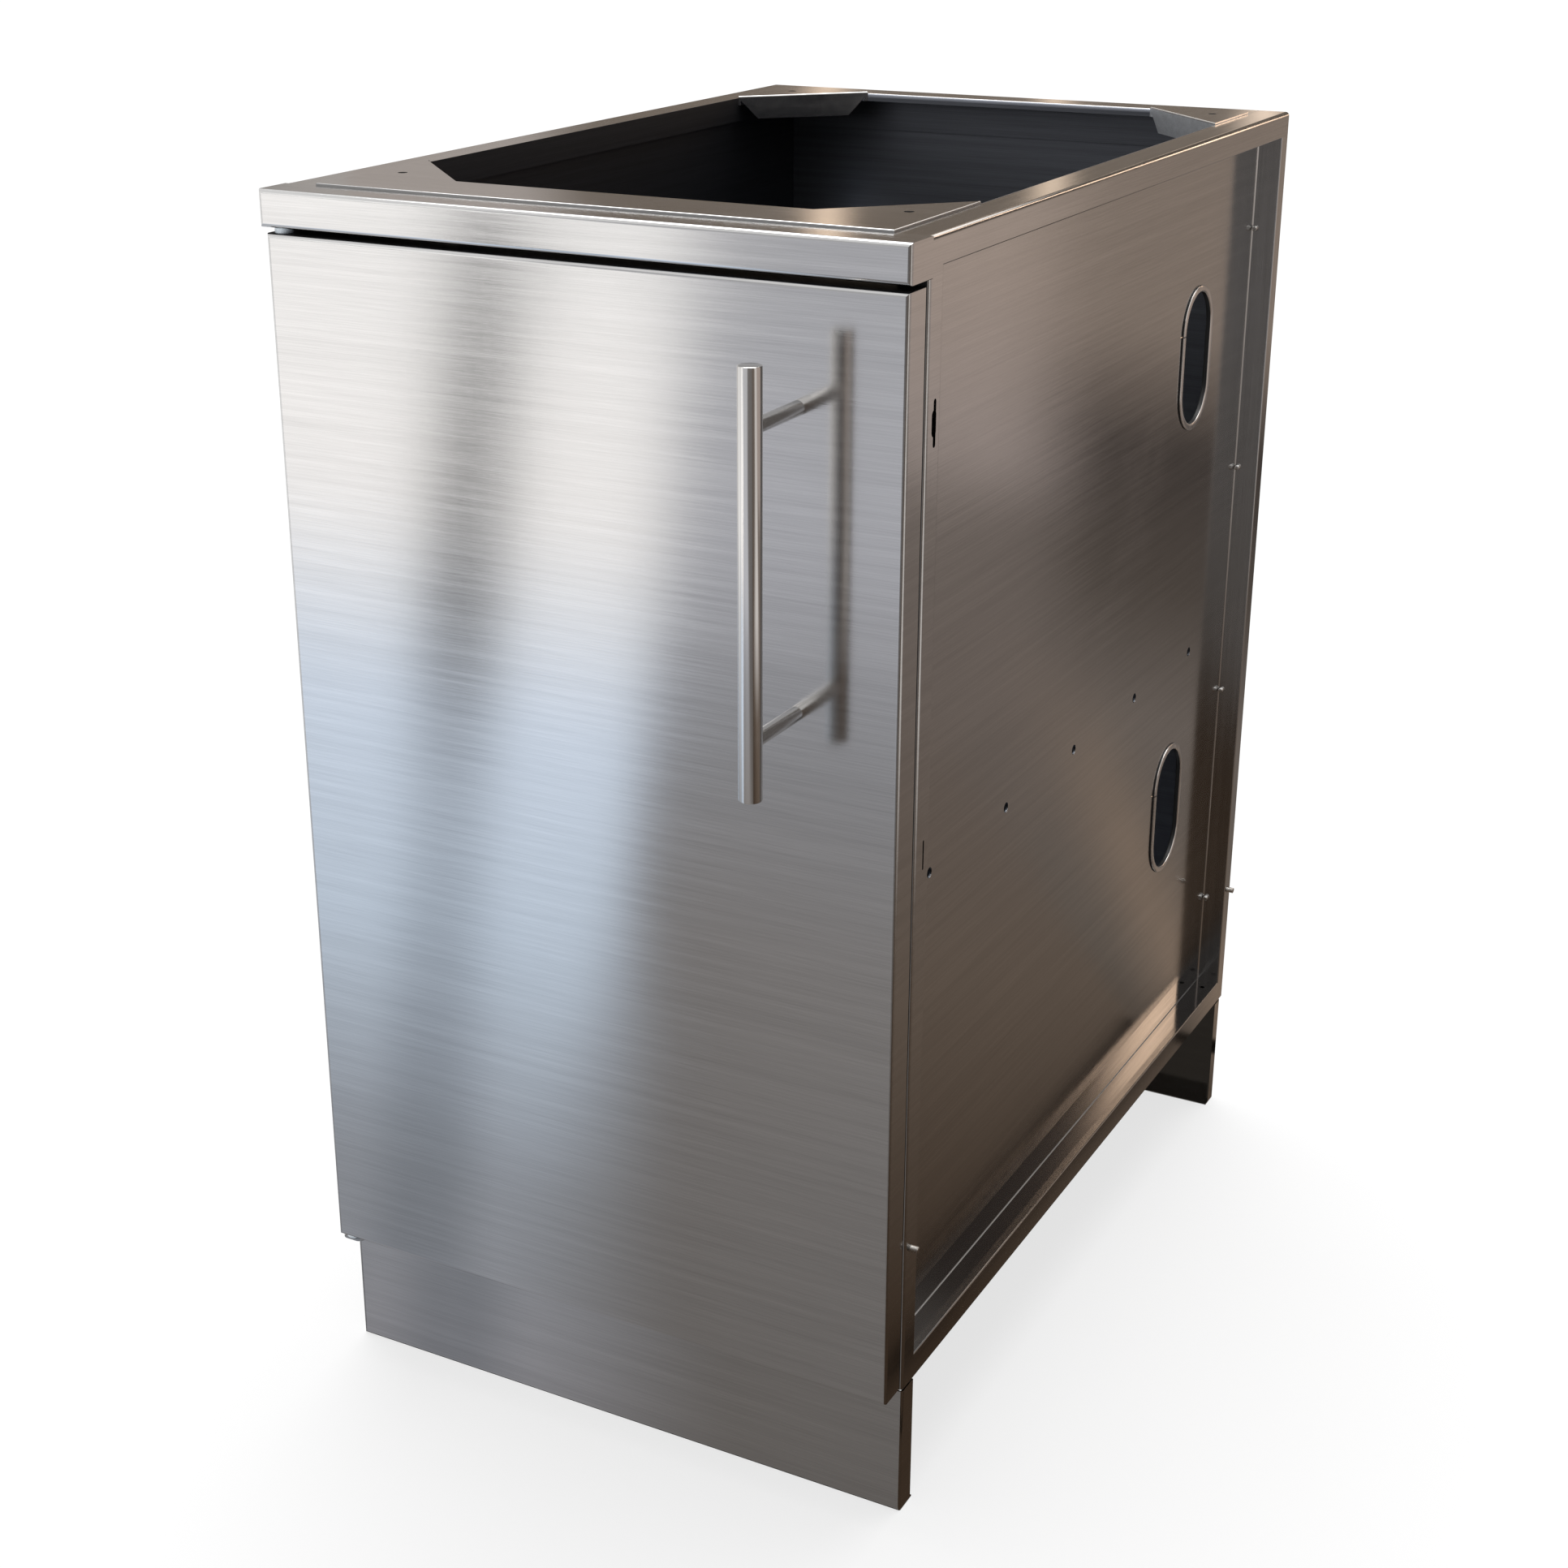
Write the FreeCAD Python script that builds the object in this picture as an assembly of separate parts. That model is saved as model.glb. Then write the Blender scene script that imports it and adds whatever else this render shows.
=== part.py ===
import FreeCAD, Part
import math
import os
from FreeCAD import Vector

# Single door cabinet in brushed stainless sheet. A boxed frame carries recessed side panels, an open
# top with corner plates, a pivot-hung door with a bar handle, a back panel, a floor and two kicks.
# Modelled with X across, Y from front to back and Z up, then moved to the middle of its base.

# Overall sizes, millimetres
WIDTH = 457.0
DEPTH = 702.0
HEIGHT = 872.0
WALL = 1.5
SKIN = 1.2

# Side frame members
BASE = 101.5
STILE = 19.0
REAR_STILE = 13.3
TOP_RAIL_H = 18.5
BOTTOM_RAIL_H = 18.5
RECESS = 19.0
RIM_OVER = 4.3
EDGE_BEND = 1.5
WINDOW_BEND = 1.0
SEAM = 0.8

# Front rail, rear rail and top plates
RAIL_H = 24.0
RAIL_DEPTH = 29.0
REAR_RAIL_DEPTH = 27.8
REAR_SKIRT = 32.0
REAR_LIP = 6.0
STRETCHER = 47.5
EAR = 75.5
GUSSET = 80.0
PLATE_FLANGE = 17.0
PLATE_BEND = 1.0
TOP_HOLE_R = 3.2
TOP_HOLE_SIDE = 21.0
TOP_HOLE_FRONT = 65.0
TOP_HOLE_REAR = 24.0

# Pass-throughs and their edge trim
PASS_W = 60.0
PASS_H = 104.0
PASS_BACK = 122.5
PASS_UP = 227.5
PASS_DOWN = 152.0
TRIM_LIP = 3.5
TRIM_WEB = 1.5
TRIM_OUT = 1.8
TRIM_SPLIT = 0.8

# Row of holes along each side panel
ROW_R = 3.7
ROW_FIRST = 65.0
ROW_PITCH = 127.0
ROW_END = 20.0
ROW_UP = 353.0

# Slots in the front stiles and drains in the bottom rails
KEY_DOWN = 75.5
KEY_LENGTH = 29.0
KEY_R = 1.8
KEY_BODY_LENGTH = 16.0
KEY_BODY_R = 3.1
KEY_BODY_SIDE = 0.9
SLOT_SIDE = 2.2
SLIT_UP = 379.5
SLIT_LENGTH = 20.0
SLIT_R = 0.9
DRAIN_R = 2.0
DRAIN_IN = 15.0

# Kicks and back panel
KICK_CLEAR = 0.5
KICK_INSET = 0.5
KICK_RETURN = 18.0
REAR_KICK_RETURN = 14.0
KICK_FOOT = 20.0
TONGUE_CLEAR = 1.5
BACK_INSET = 1.0

# Door
HINGE_REVEAL = 4.5
LATCH_REVEAL = 0.8
DOOR_GAP = 3.5
DOOR_SILL = 2.8
DOOR_DEPTH = 22.2
DOOR_LIP = 12.0
DOOR_BEND = 1.8

# Pivot hinges
HINGE_IN = 8.0
HINGE_BACK = 9.0
SWING_CLEAR = 0.565
PIN_R = 3.0
PIN_REACH = 16.0
PIN_HEAD = 3.0
PIN_HEAD_RIM = 2.0
PIN_CLEAR = 0.05
BUSH_WALL = 1.45
BUSH_RIM = 1.5
BUSH_PLAY = 0.25
BLOCK_WALL = 5.7
BLOCK_H = 20.0
BRACKET = 2.0
BRACKET_RIM = 6.0
BRACKET_END = 5.0
BRACKET_SCREW_IN = 9.0
BRACKET_SCREW_PITCH = 15.0

# Handle
HANDLE_IN = 69.7
HANDLE_DOWN = 36.0
HANDLE_OUT = 58.0
BAR_R = 7.3
BAR_LENGTH = 260.5
BAR_CHAMFER = 0.9
POST_R = 4.7
POST_PITCH = 188.4
POST_THREAD = 16.0
SPACER_WALL = 2.8

# Catch, strike and bumpers
CATCH_W = 18.0
CATCH_DEPTH = 28.0
CATCH_H = 40.0
CATCH_UP = 384.0
CATCH_GAP = 0.6
MAGNET_W = 10.0
MAGNET_DEPTH = 14.0
MAGNET_H = 30.0
CATCH_SCREW_PITCH = 20.0
STRIKE = 1.0
STRIKE_W = 16.0
STRIKE_H = 36.0
STRIKE_IN = 8.4
RIVET_PITCH = 24.0
BUMPER_R = 4.5
BUMPER_GAP = 0.4
BUMPER_END = 60.0

# Fasteners
HOLE_CLEAR = 0.15
SCREW_R = 2.0
SCREW_RIM = 2.0
SCREW_HEAD = 1.8
BACK_SCREW = 18.0
BACK_SCREW_CLEAR = 0.5
BACK_SCREW_UP = 98.5
BACK_SCREW_PITCH = 194.3
BACK_SCREW_END = 40.0
SHORT_SCREW = 9.0
SHORT_SCREW_X = 100.0
BRACKET_SCREW = 8.0
POST_SCREW_R = 2.5
POST_SCREW_RIM = 2.0
POST_SCREW_HEAD = 2.2
POST_SCREW_SHORT = 1.5
SMALL_SCREW_R = 1.5
SMALL_SCREW_RIM = 1.3
SMALL_SCREW_HEAD = 1.5
BOLT_R = 2.5
BOLT_OUT = 5.5
BOLT_CLEAR = 4.0
BOLT_HEAD_R = 4.6
BOLT_HEAD = 3.5
BOLT_TIP = 0.8
BOLT_SHANK_OUT = 0.3
BOLT_THREAD_CUT = 0.1
HEAD_SIDES = 6

# Cutting tools run past the faces they open, and points this close count as one place
OVERRUN = 3.0
TOUCH = 1e-4

# Places worked out from the sizes above
HALF = WIDTH / 2
BACK = DEPTH - SKIN
OUTER_BEND = EDGE_BEND + WALL
FACE = HINGE_BACK + math.hypot(HINGE_IN, DOOR_DEPTH - HINGE_BACK) + SWING_CLEAR
PANEL_OUT = HALF - RECESS
PANEL_IN = PANEL_OUT - SKIN
PLATE_X = PANEL_IN - RIM_OVER
TOP_RAIL_Z = HEIGHT - TOP_RAIL_H
FLOOR_Z = BASE + BOTTOM_RAIL_H
WINDOW_FRONT = FACE + STILE
WINDOW_BACK = BACK - REAR_STILE
RAIL_Z = HEIGHT - RAIL_H
PLATE_TOP = HEIGHT + WALL
STRETCHER_Y = RAIL_DEPTH + STRETCHER
EAR_X = PLATE_X - EAR
EAR_Y = STRETCHER_Y + EAR
GUSSET_Y = BACK - REAR_RAIL_DEPTH
TOP_HOLE_X = PLATE_X - TOP_HOLE_SIDE
TOP_HOLE_Y = (RAIL_DEPTH + TOP_HOLE_FRONT, GUSSET_Y - TOP_HOLE_REAR)
PASS_Y = WINDOW_BACK - PASS_BACK
PASS_Z = (BASE + PASS_UP, TOP_RAIL_Z - PASS_DOWN)
DOOR_LEFT = HINGE_REVEAL - HALF
DOOR_RIGHT = HALF - LATCH_REVEAL
DOOR_BOTTOM = BASE + DOOR_SILL
DOOR_TOP = RAIL_Z - DOOR_GAP
LINER_BACK = DOOR_DEPTH - SKIN
LINER_FRONT = LINER_BACK - SKIN
HINGE_X = DOOR_LEFT + HINGE_IN
BUSH_R = PIN_R + PIN_CLEAR + BUSH_WALL
BRACKET_HALF = PIN_R + BRACKET_RIM
BRACKET_FRONT = HINGE_BACK - BRACKET_END
BRACKET_SCREW_Y = [WINDOW_FRONT + BRACKET_SCREW_IN + step * BRACKET_SCREW_PITCH for step in (0, 1)]
BRACKET_BACK = BRACKET_SCREW_Y[-1] + BRACKET_HALF
KICK_H = BASE - BRACKET - KICK_CLEAR
KICK_X = HALF - KICK_INSET
KICK_Y = FACE + WALL
REAR_KICK_Y = BACK - WALL
TONGUE_X = min(PANEL_IN - WALL, -HINGE_X - BRACKET_HALF) - TONGUE_CLEAR
HANDLE_X = DOOR_RIGHT - HANDLE_IN
HANDLE_Z = DOOR_TOP - HANDLE_DOWN - BAR_LENGTH / 2
POST_Z = [HANDLE_Z + side * POST_PITCH / 2 for side in (-1, 1)]
POST_HOLE_R = POST_SCREW_R + HOLE_CLEAR
CATCH_X = DOOR_RIGHT - DOOR_LIP - STRIKE_IN - STRIKE_W / 2
CATCH_Z = BASE + CATCH_UP
CATCH_IN = CATCH_X - CATCH_W / 2
CATCH_FRONT = LINER_BACK + STRIKE + CATCH_GAP
CATCH_SCREW_Y = (CATCH_FRONT + MAGNET_DEPTH + WINDOW_FRONT) / 2
CATCH_SCREW_Z = [CATCH_Z + side * CATCH_SCREW_PITCH / 2 for side in (-1, 1)]
RIVET_Z = [CATCH_Z + side * RIVET_PITCH / 2 for side in (-1, 1)]
BUMPER_X = DOOR_RIGHT - DOOR_LIP / 2
BUMPER_Z = (DOOR_BOTTOM + BUMPER_END, DOOR_TOP - BUMPER_END)
BACK_SCREW_X = PANEL_OUT + SCREW_R + BACK_SCREW_CLEAR
SHORT_SCREW_Z = (BASE + FLOOR_Z) / 2
HANDLE_REACH = HANDLE_OUT + BAR_R
MIDDLE = Vector(BOLT_OUT / 2, (DEPTH + SCREW_HEAD - HANDLE_REACH) / 2, 0)

X = Vector(1, 0, 0)
Y = Vector(0, 1, 0)
Z = Vector(0, 0, 1)


def places(first, pitch, last):
    """Evenly pitched places from the first one, as many as stay short of the last."""
    return [first + step * pitch for step in range(int((last - first) / pitch) + 1)]


ROW_Y = places(FACE + ROW_FIRST, ROW_PITCH, WINDOW_BACK - ROW_END)
BACK_SCREW_Z = places(BASE + BACK_SCREW_UP, BACK_SCREW_PITCH, TOP_RAIL_Z - BACK_SCREW_END)
BOLT_Z = BACK_SCREW_Z[0] + SCREW_R + BOLT_R + BOLT_CLEAR
BOLT_Y = (FACE + STILE / 2, BACK - REAR_STILE / 2)


# Shape helpers
def box(x, y, z):
    return Part.makeBox(x[1] - x[0], y[1] - y[0], z[1] - z[0], Vector(x[0], y[0], z[0]))


def rod(start, axis, length, radius):
    return Part.makeCylinder(radius, length, start, axis)


def drill(start, axis, length, radius):
    """A rod that also runs past both of its ends."""
    return rod(start - axis * OVERRUN, axis, length + 2 * OVERRUN, radius)


def fuse(shapes):
    return shapes[0].multiFuse(shapes[1:]).removeSplitter()


def grow(span, by):
    return (span[0] - by, span[1] + by)


def span(one, other):
    return (min(one, other), max(one, other))


def near(value, place):
    return abs(value - place) < TOUCH


def bend(shape, radius, chosen):
    """Round the edges whose two ends both pass the test."""
    edges = [edge for edge in shape.Edges if all(chosen(end.Point) for end in edge.Vertexes)]
    return shape.makeFillet(radius, edges)


def tube(x, y, z, along):
    """A box section, open at both ends along one axis."""
    outer = [x, y, z]
    hollow = [grow(side, -WALL) for side in outer]
    hollow[along] = grow(outer[along], OVERRUN)
    return box(*outer).cut(box(*hollow))


def prism(points, low, high):
    """A flat outline in X and Y, drawn from one height to another."""
    corners = [Vector(x, y, low) for x, y in points]
    return Part.Face(Part.makePolygon(corners + corners[:1])).extrude(Z * (high - low))


def obround(x, y, z, radius, height):
    """An upright slot shape through the X span, centred at y and z."""
    reach = height / 2 - radius
    ends = [rod(Vector(x[0], y, z + side * reach), X, x[1] - x[0], radius) for side in (-1, 1)]
    return fuse([box(x, (y - radius, y + radius), (z - reach, z + reach))] + ends)


def screw(seat, axis, length, radius, head, rim):
    """A round-headed screw: its head stands behind the seat and its shank runs along the axis."""
    return fuse([rod(seat, axis, length, radius), rod(seat - axis * head, axis, head, radius + rim)])


def hinge_rod(low, high, radius):
    """A rod on the hinge axis between two heights."""
    return rod(Vector(HINGE_X, HINGE_BACK, low), Z, high - low, radius)


# Cuts that line up through several pieces
def rail_seat():
    return box((-HALF, HALF + OVERRUN), (0, RAIL_DEPTH), (RAIL_Z, HEIGHT))


def bolt_holes():
    start = PANEL_IN
    return [drill(Vector(start, y, BOLT_Z), X, HALF - start, BOLT_R + HOLE_CLEAR) for y in BOLT_Y]


def back_screw_places():
    long_ones = [(side * BACK_SCREW_X, z, BACK_SCREW) for side in (-1, 1) for z in BACK_SCREW_Z]
    short_ones = [(side * SHORT_SCREW_X, SHORT_SCREW_Z, SHORT_SCREW) for side in (-1, 1)]
    return long_ones + short_ones


def back_screw_holes():
    return [
        drill(Vector(x, DEPTH, z), -Y, length, SCREW_R + HOLE_CLEAR) for x, z, length in back_screw_places()
    ]


def bracket_screw_holes(x):
    return [
        drill(Vector(x, y, BASE - BRACKET), Z, BRACKET + WALL, SCREW_R + HOLE_CLEAR) for y in BRACKET_SCREW_Y
    ]


def post_holes():
    return [drill(Vector(HANDLE_X, 0, z), Y, DOOR_DEPTH, POST_HOLE_R) for z in POST_Z]


def catch_screw_holes():
    length = PANEL_OUT - CATCH_IN
    seats = [Vector(CATCH_IN, CATCH_SCREW_Y, z) for z in CATCH_SCREW_Z]
    return [drill(seat, X, length, SMALL_SCREW_R + HOLE_CLEAR) for seat in seats]


def rivet_holes():
    length = SKIN + STRIKE
    return [drill(Vector(CATCH_X, LINER_FRONT, z), Y, length, SMALL_SCREW_R + HOLE_CLEAR) for z in RIVET_Z]


# Side frames and panels, drawn for the right side
def window_rim():
    """What is cut from the frame to round its outer edge all round the recessed window."""
    y = grow((WINDOW_FRONT, WINDOW_BACK), WINDOW_BEND)
    z = grow((FLOOR_Z, TOP_RAIL_Z), WINDOW_BEND)
    x = HALF - WINDOW_BEND
    upright = [rod(Vector(x, place, z[0]), Z, z[1] - z[0], WINDOW_BEND) for place in y]
    level = [rod(Vector(x, y[0], place), Y, y[1] - y[0], WINDOW_BEND) for place in z]
    return box((x, HALF + OVERRUN), y, z).cut(upright + level)


def front_stile():
    stile = tube((PANEL_OUT, HALF), (FACE, WINDOW_FRONT), (BASE, TOP_RAIL_Z), 2)
    stile = bend(stile, OUTER_BEND, lambda p: near(p.x, HALF) and near(p.y, FACE))
    stile = bend(stile, EDGE_BEND, lambda p: near(p.x, HALF - WALL) and near(p.y, FACE + WALL))
    outer_wall = (HALF - WALL - OVERRUN, HALF + OVERRUN)
    slot_y = BOLT_Y[0] + SLOT_SIDE
    key_z = TOP_RAIL_Z - KEY_DOWN - KEY_LENGTH / 2
    slots = [
        obround(outer_wall, slot_y, key_z, KEY_R, KEY_LENGTH),
        obround(outer_wall, slot_y - KEY_BODY_SIDE, key_z, KEY_BODY_R, KEY_BODY_LENGTH),
        obround(outer_wall, slot_y, BASE + SLIT_UP + SLIT_LENGTH / 2, SLIT_R, SLIT_LENGTH),
    ]
    return stile.cut(slots + [rail_seat(), window_rim()] + bolt_holes())


def rear_stile():
    """A channel closed by the side panel, with a welded seam along the window's rear corner."""
    y, z = (WINDOW_BACK, BACK), (BASE, TOP_RAIL_Z)
    hollow = box((PANEL_OUT - OVERRUN, HALF - WALL), grow(y, -WALL), grow(z, OVERRUN))
    channel = box((PANEL_OUT, HALF), y, z).cut(hollow)
    corner = (PANEL_OUT, WINDOW_BACK)
    legs = [(PANEL_OUT + SEAM, WINDOW_BACK), (PANEL_OUT, WINDOW_BACK - SEAM)]
    seam = prism([corner] + legs, FLOOR_Z, TOP_RAIL_Z)
    return fuse([channel, seam]).cut([window_rim()] + bolt_holes() + back_screw_holes())


def top_rail():
    rail = tube((PLATE_X, HALF), (RAIL_DEPTH, BACK), (TOP_RAIL_Z, HEIGHT), 1)
    return bend(rail, OUTER_BEND, lambda p: near(p.x, HALF) and near(p.z, HEIGHT)).cut(window_rim())


def bottom_rail():
    rail = tube((PANEL_OUT, HALF), (WINDOW_FRONT, WINDOW_BACK), (BASE, FLOOR_Z), 1)
    drain = drill(Vector(HALF - RECESS / 2, WINDOW_BACK - DRAIN_IN, FLOOR_Z - WALL), Z, WALL, DRAIN_R)
    return rail.cut([drain, window_rim()] + bracket_screw_holes(-HINGE_X))


def side_panel():
    thickness = (PANEL_IN, PANEL_OUT)
    panel = box(thickness, (FACE, BACK), (BASE, TOP_RAIL_Z))
    openings = [obround(grow(thickness, OVERRUN), PASS_Y, z, PASS_W / 2, PASS_H) for z in PASS_Z]
    row = [drill(Vector(PANEL_IN, y, BASE + ROW_UP), X, SKIN, ROW_R) for y in ROW_Y]
    return panel.cut(openings + row + [rail_seat()] + bolt_holes() + catch_screw_holes())


def pass_trims():
    """Edge trim round each pass-through: a lip on both faces of the panel and a web between."""
    depth = (PANEL_IN - TRIM_WEB, PANEL_OUT + TRIM_OUT)
    through = grow(depth, OVERRUN)
    sheet = box((PANEL_IN, PANEL_OUT), (FACE, BACK), (BASE, TOP_RAIL_Z))
    trims = []
    for z in PASS_Z:
        outer = obround(depth, PASS_Y, z, PASS_W / 2 + TRIM_LIP, PASS_H + 2 * TRIM_LIP)
        clear = obround(through, PASS_Y, z, PASS_W / 2 - TRIM_WEB, PASS_H - 2 * TRIM_WEB)
        edge = sheet.cut(obround(through, PASS_Y, z, PASS_W / 2, PASS_H))
        split_z = z + (PASS_H - PASS_W) / 2
        split = box(through, (PASS_Y - PASS_W, PASS_Y), (split_z, split_z + TRIM_SPLIT))
        trims.append(outer.cut([clear, edge, split]))
    return Part.Compound(trims)


# Rails and plates of the open top
def front_rail():
    x, y, z = (-HALF, HALF), (0, RAIL_DEPTH), (RAIL_Z, HEIGHT)
    rail = bend(box(x, y, z), OUTER_BEND, lambda p: near(p.y, 0))
    hollow = box(grow(x, -WALL), (WALL, RAIL_DEPTH + OVERRUN), grow(z, -WALL))
    hollow = bend(hollow, EDGE_BEND, lambda p: near(p.y, WALL))
    pin_hole = drill(Vector(HINGE_X, HINGE_BACK, RAIL_Z), Z, WALL, PIN_R + PIN_CLEAR)
    return rail.cut([hollow, pin_hole])


def rear_rail():
    x = (-PLATE_X, PLATE_X)
    flange = box(x, (GUSSET_Y, BACK), (HEIGHT - WALL, HEIGHT))
    lip = box(x, (GUSSET_Y, GUSSET_Y + WALL), (HEIGHT - REAR_LIP, HEIGHT))
    skirt = box(x, (BACK - WALL, BACK), (HEIGHT - REAR_SKIRT, HEIGHT))
    rail = fuse([flange, lip, skirt])
    return bend(rail, OUTER_BEND, lambda p: near(p.y, GUSSET_Y) and near(p.z, HEIGHT))


def top_holes(y):
    return [drill(Vector(side * TOP_HOLE_X, y, HEIGHT), Z, WALL, TOP_HOLE_R) for side in (-1, 1)]


def front_stretcher():
    outline = [(-PLATE_X, RAIL_DEPTH), (PLATE_X, RAIL_DEPTH), (PLATE_X, EAR_Y), (EAR_X, STRETCHER_Y)]
    outline += [(-EAR_X, STRETCHER_Y), (-PLATE_X, EAR_Y)]
    down = (HEIGHT - PLATE_FLANGE, PLATE_TOP)
    front = box((-PLATE_X, PLATE_X), (RAIL_DEPTH, RAIL_DEPTH + WALL), down)
    rear = box((-EAR_X, EAR_X), (STRETCHER_Y - WALL, STRETCHER_Y), down)
    sides = [box((low, low + WALL), (RAIL_DEPTH, EAR_Y), down) for low in (-PLATE_X, PLATE_X - WALL)]
    plate = fuse([prism(outline, HEIGHT, PLATE_TOP), front, rear] + sides)

    def outer_top_edge(p):
        return near(p.z, PLATE_TOP) and (near(p.y, RAIL_DEPTH) or near(abs(p.x), PLATE_X))

    return bend(plate, PLATE_BEND, outer_top_edge).cut(top_holes(TOP_HOLE_Y[0]))


def rear_gusset():
    """Corner plate for the right rear corner, with a tapered flange along its slanted edge."""
    corner = Vector(PLATE_X, GUSSET_Y, 0)
    side_end = corner - Y * GUSSET
    rear_end = corner - X * GUSSET
    outline = [point[:2] for point in (corner, rear_end, side_end)]
    low = HEIGHT - PLATE_FLANGE
    along = (rear_end - side_end).normalize()
    taper = along * PLATE_FLANGE
    slant = [side_end + Z * HEIGHT, rear_end + Z * HEIGHT]
    slant += [rear_end - taper + Z * low, side_end + taper + Z * low]
    thickness = Vector(along.y, -along.x, 0) * WALL
    flange = Part.Face(Part.makePolygon(slant + slant[:1])).extrude(thickness)
    down = (HEIGHT - REAR_LIP, PLATE_TOP)
    side = box((PLATE_X - WALL, PLATE_X), (side_end.y, GUSSET_Y), down)
    rear = box((rear_end.x, PLATE_X), (GUSSET_Y - WALL, GUSSET_Y), down)
    inside = prism(outline, low, PLATE_TOP)
    folds = [piece.common(inside) for piece in (flange, side, rear)]
    plate = fuse([prism(outline, HEIGHT, PLATE_TOP)] + folds)

    def slanted_top_edge(p):
        return near(p.z, PLATE_TOP) and near((p - side_end).dot(thickness), 0)

    return bend(plate, PLATE_BEND, slanted_top_edge).cut(top_holes(TOP_HOLE_Y[1]))


# Floor, back and kicks
def floor_panel():
    x, y, down = (-PANEL_IN, PANEL_IN), (FACE, BACK), (BASE, FLOOR_Z)
    plate = box(x, y, (FLOOR_Z - WALL, FLOOR_Z))
    front = box(x, (FACE, FACE + WALL), down)
    rear = box(x, (BACK - WALL, BACK), down)
    sides = [box((low, low + WALL), y, down) for low in (-PANEL_IN, PANEL_IN - WALL)]
    return fuse([plate, front, rear] + sides).cut(back_screw_holes())


def kick(face, inward, side_return):
    """A plinth plate with side returns, a foot flange and a tongue that rises behind the floor flange."""
    x = (-KICK_X, KICK_X)
    thickness = span(face, face + inward * WALL)
    returns = span(face, face + inward * side_return)
    pieces = [
        box(x, thickness, (0, KICK_H)),
        box((-TONGUE_X, TONGUE_X), thickness, (0, FLOOR_Z - WALL)),
        box(x, span(face, face + inward * KICK_FOOT), (0, WALL)),
    ]
    pieces += [box((low, low + WALL), returns, (0, KICK_H)) for low in (-KICK_X, KICK_X - WALL)]
    return bend(fuse(pieces), OUTER_BEND, lambda p: near(p.y, face) and near(abs(p.x), KICK_X))


def toe_kick():
    return kick(KICK_Y, 1, KICK_RETURN)


def rear_kick():
    return kick(REAR_KICK_Y, -1, REAR_KICK_RETURN).cut(back_screw_holes())


def back_panel():
    sheet = box(grow((-HALF, HALF), -BACK_INSET), (BACK, DEPTH), (BASE, HEIGHT - BACK_INSET))
    return sheet.cut(back_screw_holes())


# Door
def door_hollow():
    """The space inside the folded skin, rounded as its bends are."""
    x = grow((DOOR_LEFT, DOOR_RIGHT), -SKIN)
    y = grow((0, DOOR_DEPTH), -SKIN)
    z = grow((DOOR_BOTTOM, DOOR_TOP), -SKIN)
    return bend(box(x, y, z), DOOR_BEND, lambda p: near(p.y, SKIN))


def door_skin():
    x, y, z = (DOOR_LEFT, DOOR_RIGHT), (0, DOOR_DEPTH), (DOOR_BOTTOM, DOOR_TOP)
    skin = bend(box(x, y, z), DOOR_BEND + SKIN, lambda p: near(p.y, 0))
    mouth = box(grow(x, -DOOR_LIP), (LINER_FRONT, DOOR_DEPTH + OVERRUN), grow(z, -DOOR_LIP))
    bush_hole = hinge_rod(0, HEIGHT, BUSH_R + HOLE_CLEAR)
    return skin.cut([door_hollow(), mouth, bush_hole] + post_holes())


def door_liner():
    x = grow((DOOR_LEFT, DOOR_RIGHT), -SKIN)
    z = grow((DOOR_BOTTOM, DOOR_TOP), -SKIN)
    return box(x, (LINER_FRONT, LINER_BACK), z).cut(post_holes() + rivet_holes())


# Pivot hinges
def hinge_blocks():
    x = (DOOR_LEFT + SKIN, HINGE_X + BUSH_R + BLOCK_WALL)
    lower = (DOOR_BOTTOM + SKIN, DOOR_BOTTOM + SKIN + BLOCK_H)
    upper = (DOOR_TOP - SKIN - BLOCK_H, DOOR_TOP - SKIN)
    bore = hinge_rod(DOOR_BOTTOM, DOOR_TOP, BUSH_R)
    room = door_hollow()
    return Part.Compound([box(x, (SKIN, LINER_FRONT), z).common(room).cut(bore) for z in (lower, upper)])


def hinge_bushes():
    """Flanged bushes: the neck fills the block and the flange takes up the gap outside the door."""
    neck = SKIN + BLOCK_H
    flange_r = BUSH_R + BUSH_RIM
    lower = [
        hinge_rod(DOOR_BOTTOM, DOOR_BOTTOM + neck, BUSH_R),
        hinge_rod(BASE + BUSH_PLAY, DOOR_BOTTOM, flange_r),
    ]
    upper = [
        hinge_rod(DOOR_TOP - neck, DOOR_TOP, BUSH_R),
        hinge_rod(DOOR_TOP, RAIL_Z - BUSH_PLAY, flange_r),
    ]
    bore = hinge_rod(BASE, RAIL_Z, PIN_R + PIN_CLEAR)
    return Part.Compound([fuse(pair).cut(bore) for pair in (lower, upper)])


def hinge_pin_top():
    seat = RAIL_Z + WALL
    shank = hinge_rod(DOOR_TOP - PIN_REACH, seat, PIN_R)
    return fuse([shank, hinge_rod(seat, seat + PIN_HEAD, PIN_R + PIN_HEAD_RIM)])


def hinge_pin_bottom():
    return hinge_rod(BASE - BRACKET, DOOR_BOTTOM + PIN_REACH, PIN_R)


def hinge_bracket():
    x = grow((HINGE_X, HINGE_X), BRACKET_HALF)
    plate = box(x, (BRACKET_FRONT, BRACKET_BACK), (BASE - BRACKET, BASE))
    for corner in x:
        plate = bend(plate, BRACKET_END, lambda p: near(p.y, BRACKET_FRONT) and near(p.x, corner))
    return plate.cut([hinge_rod(0, HEIGHT, PIN_R)] + bracket_screw_holes(HINGE_X))


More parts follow.
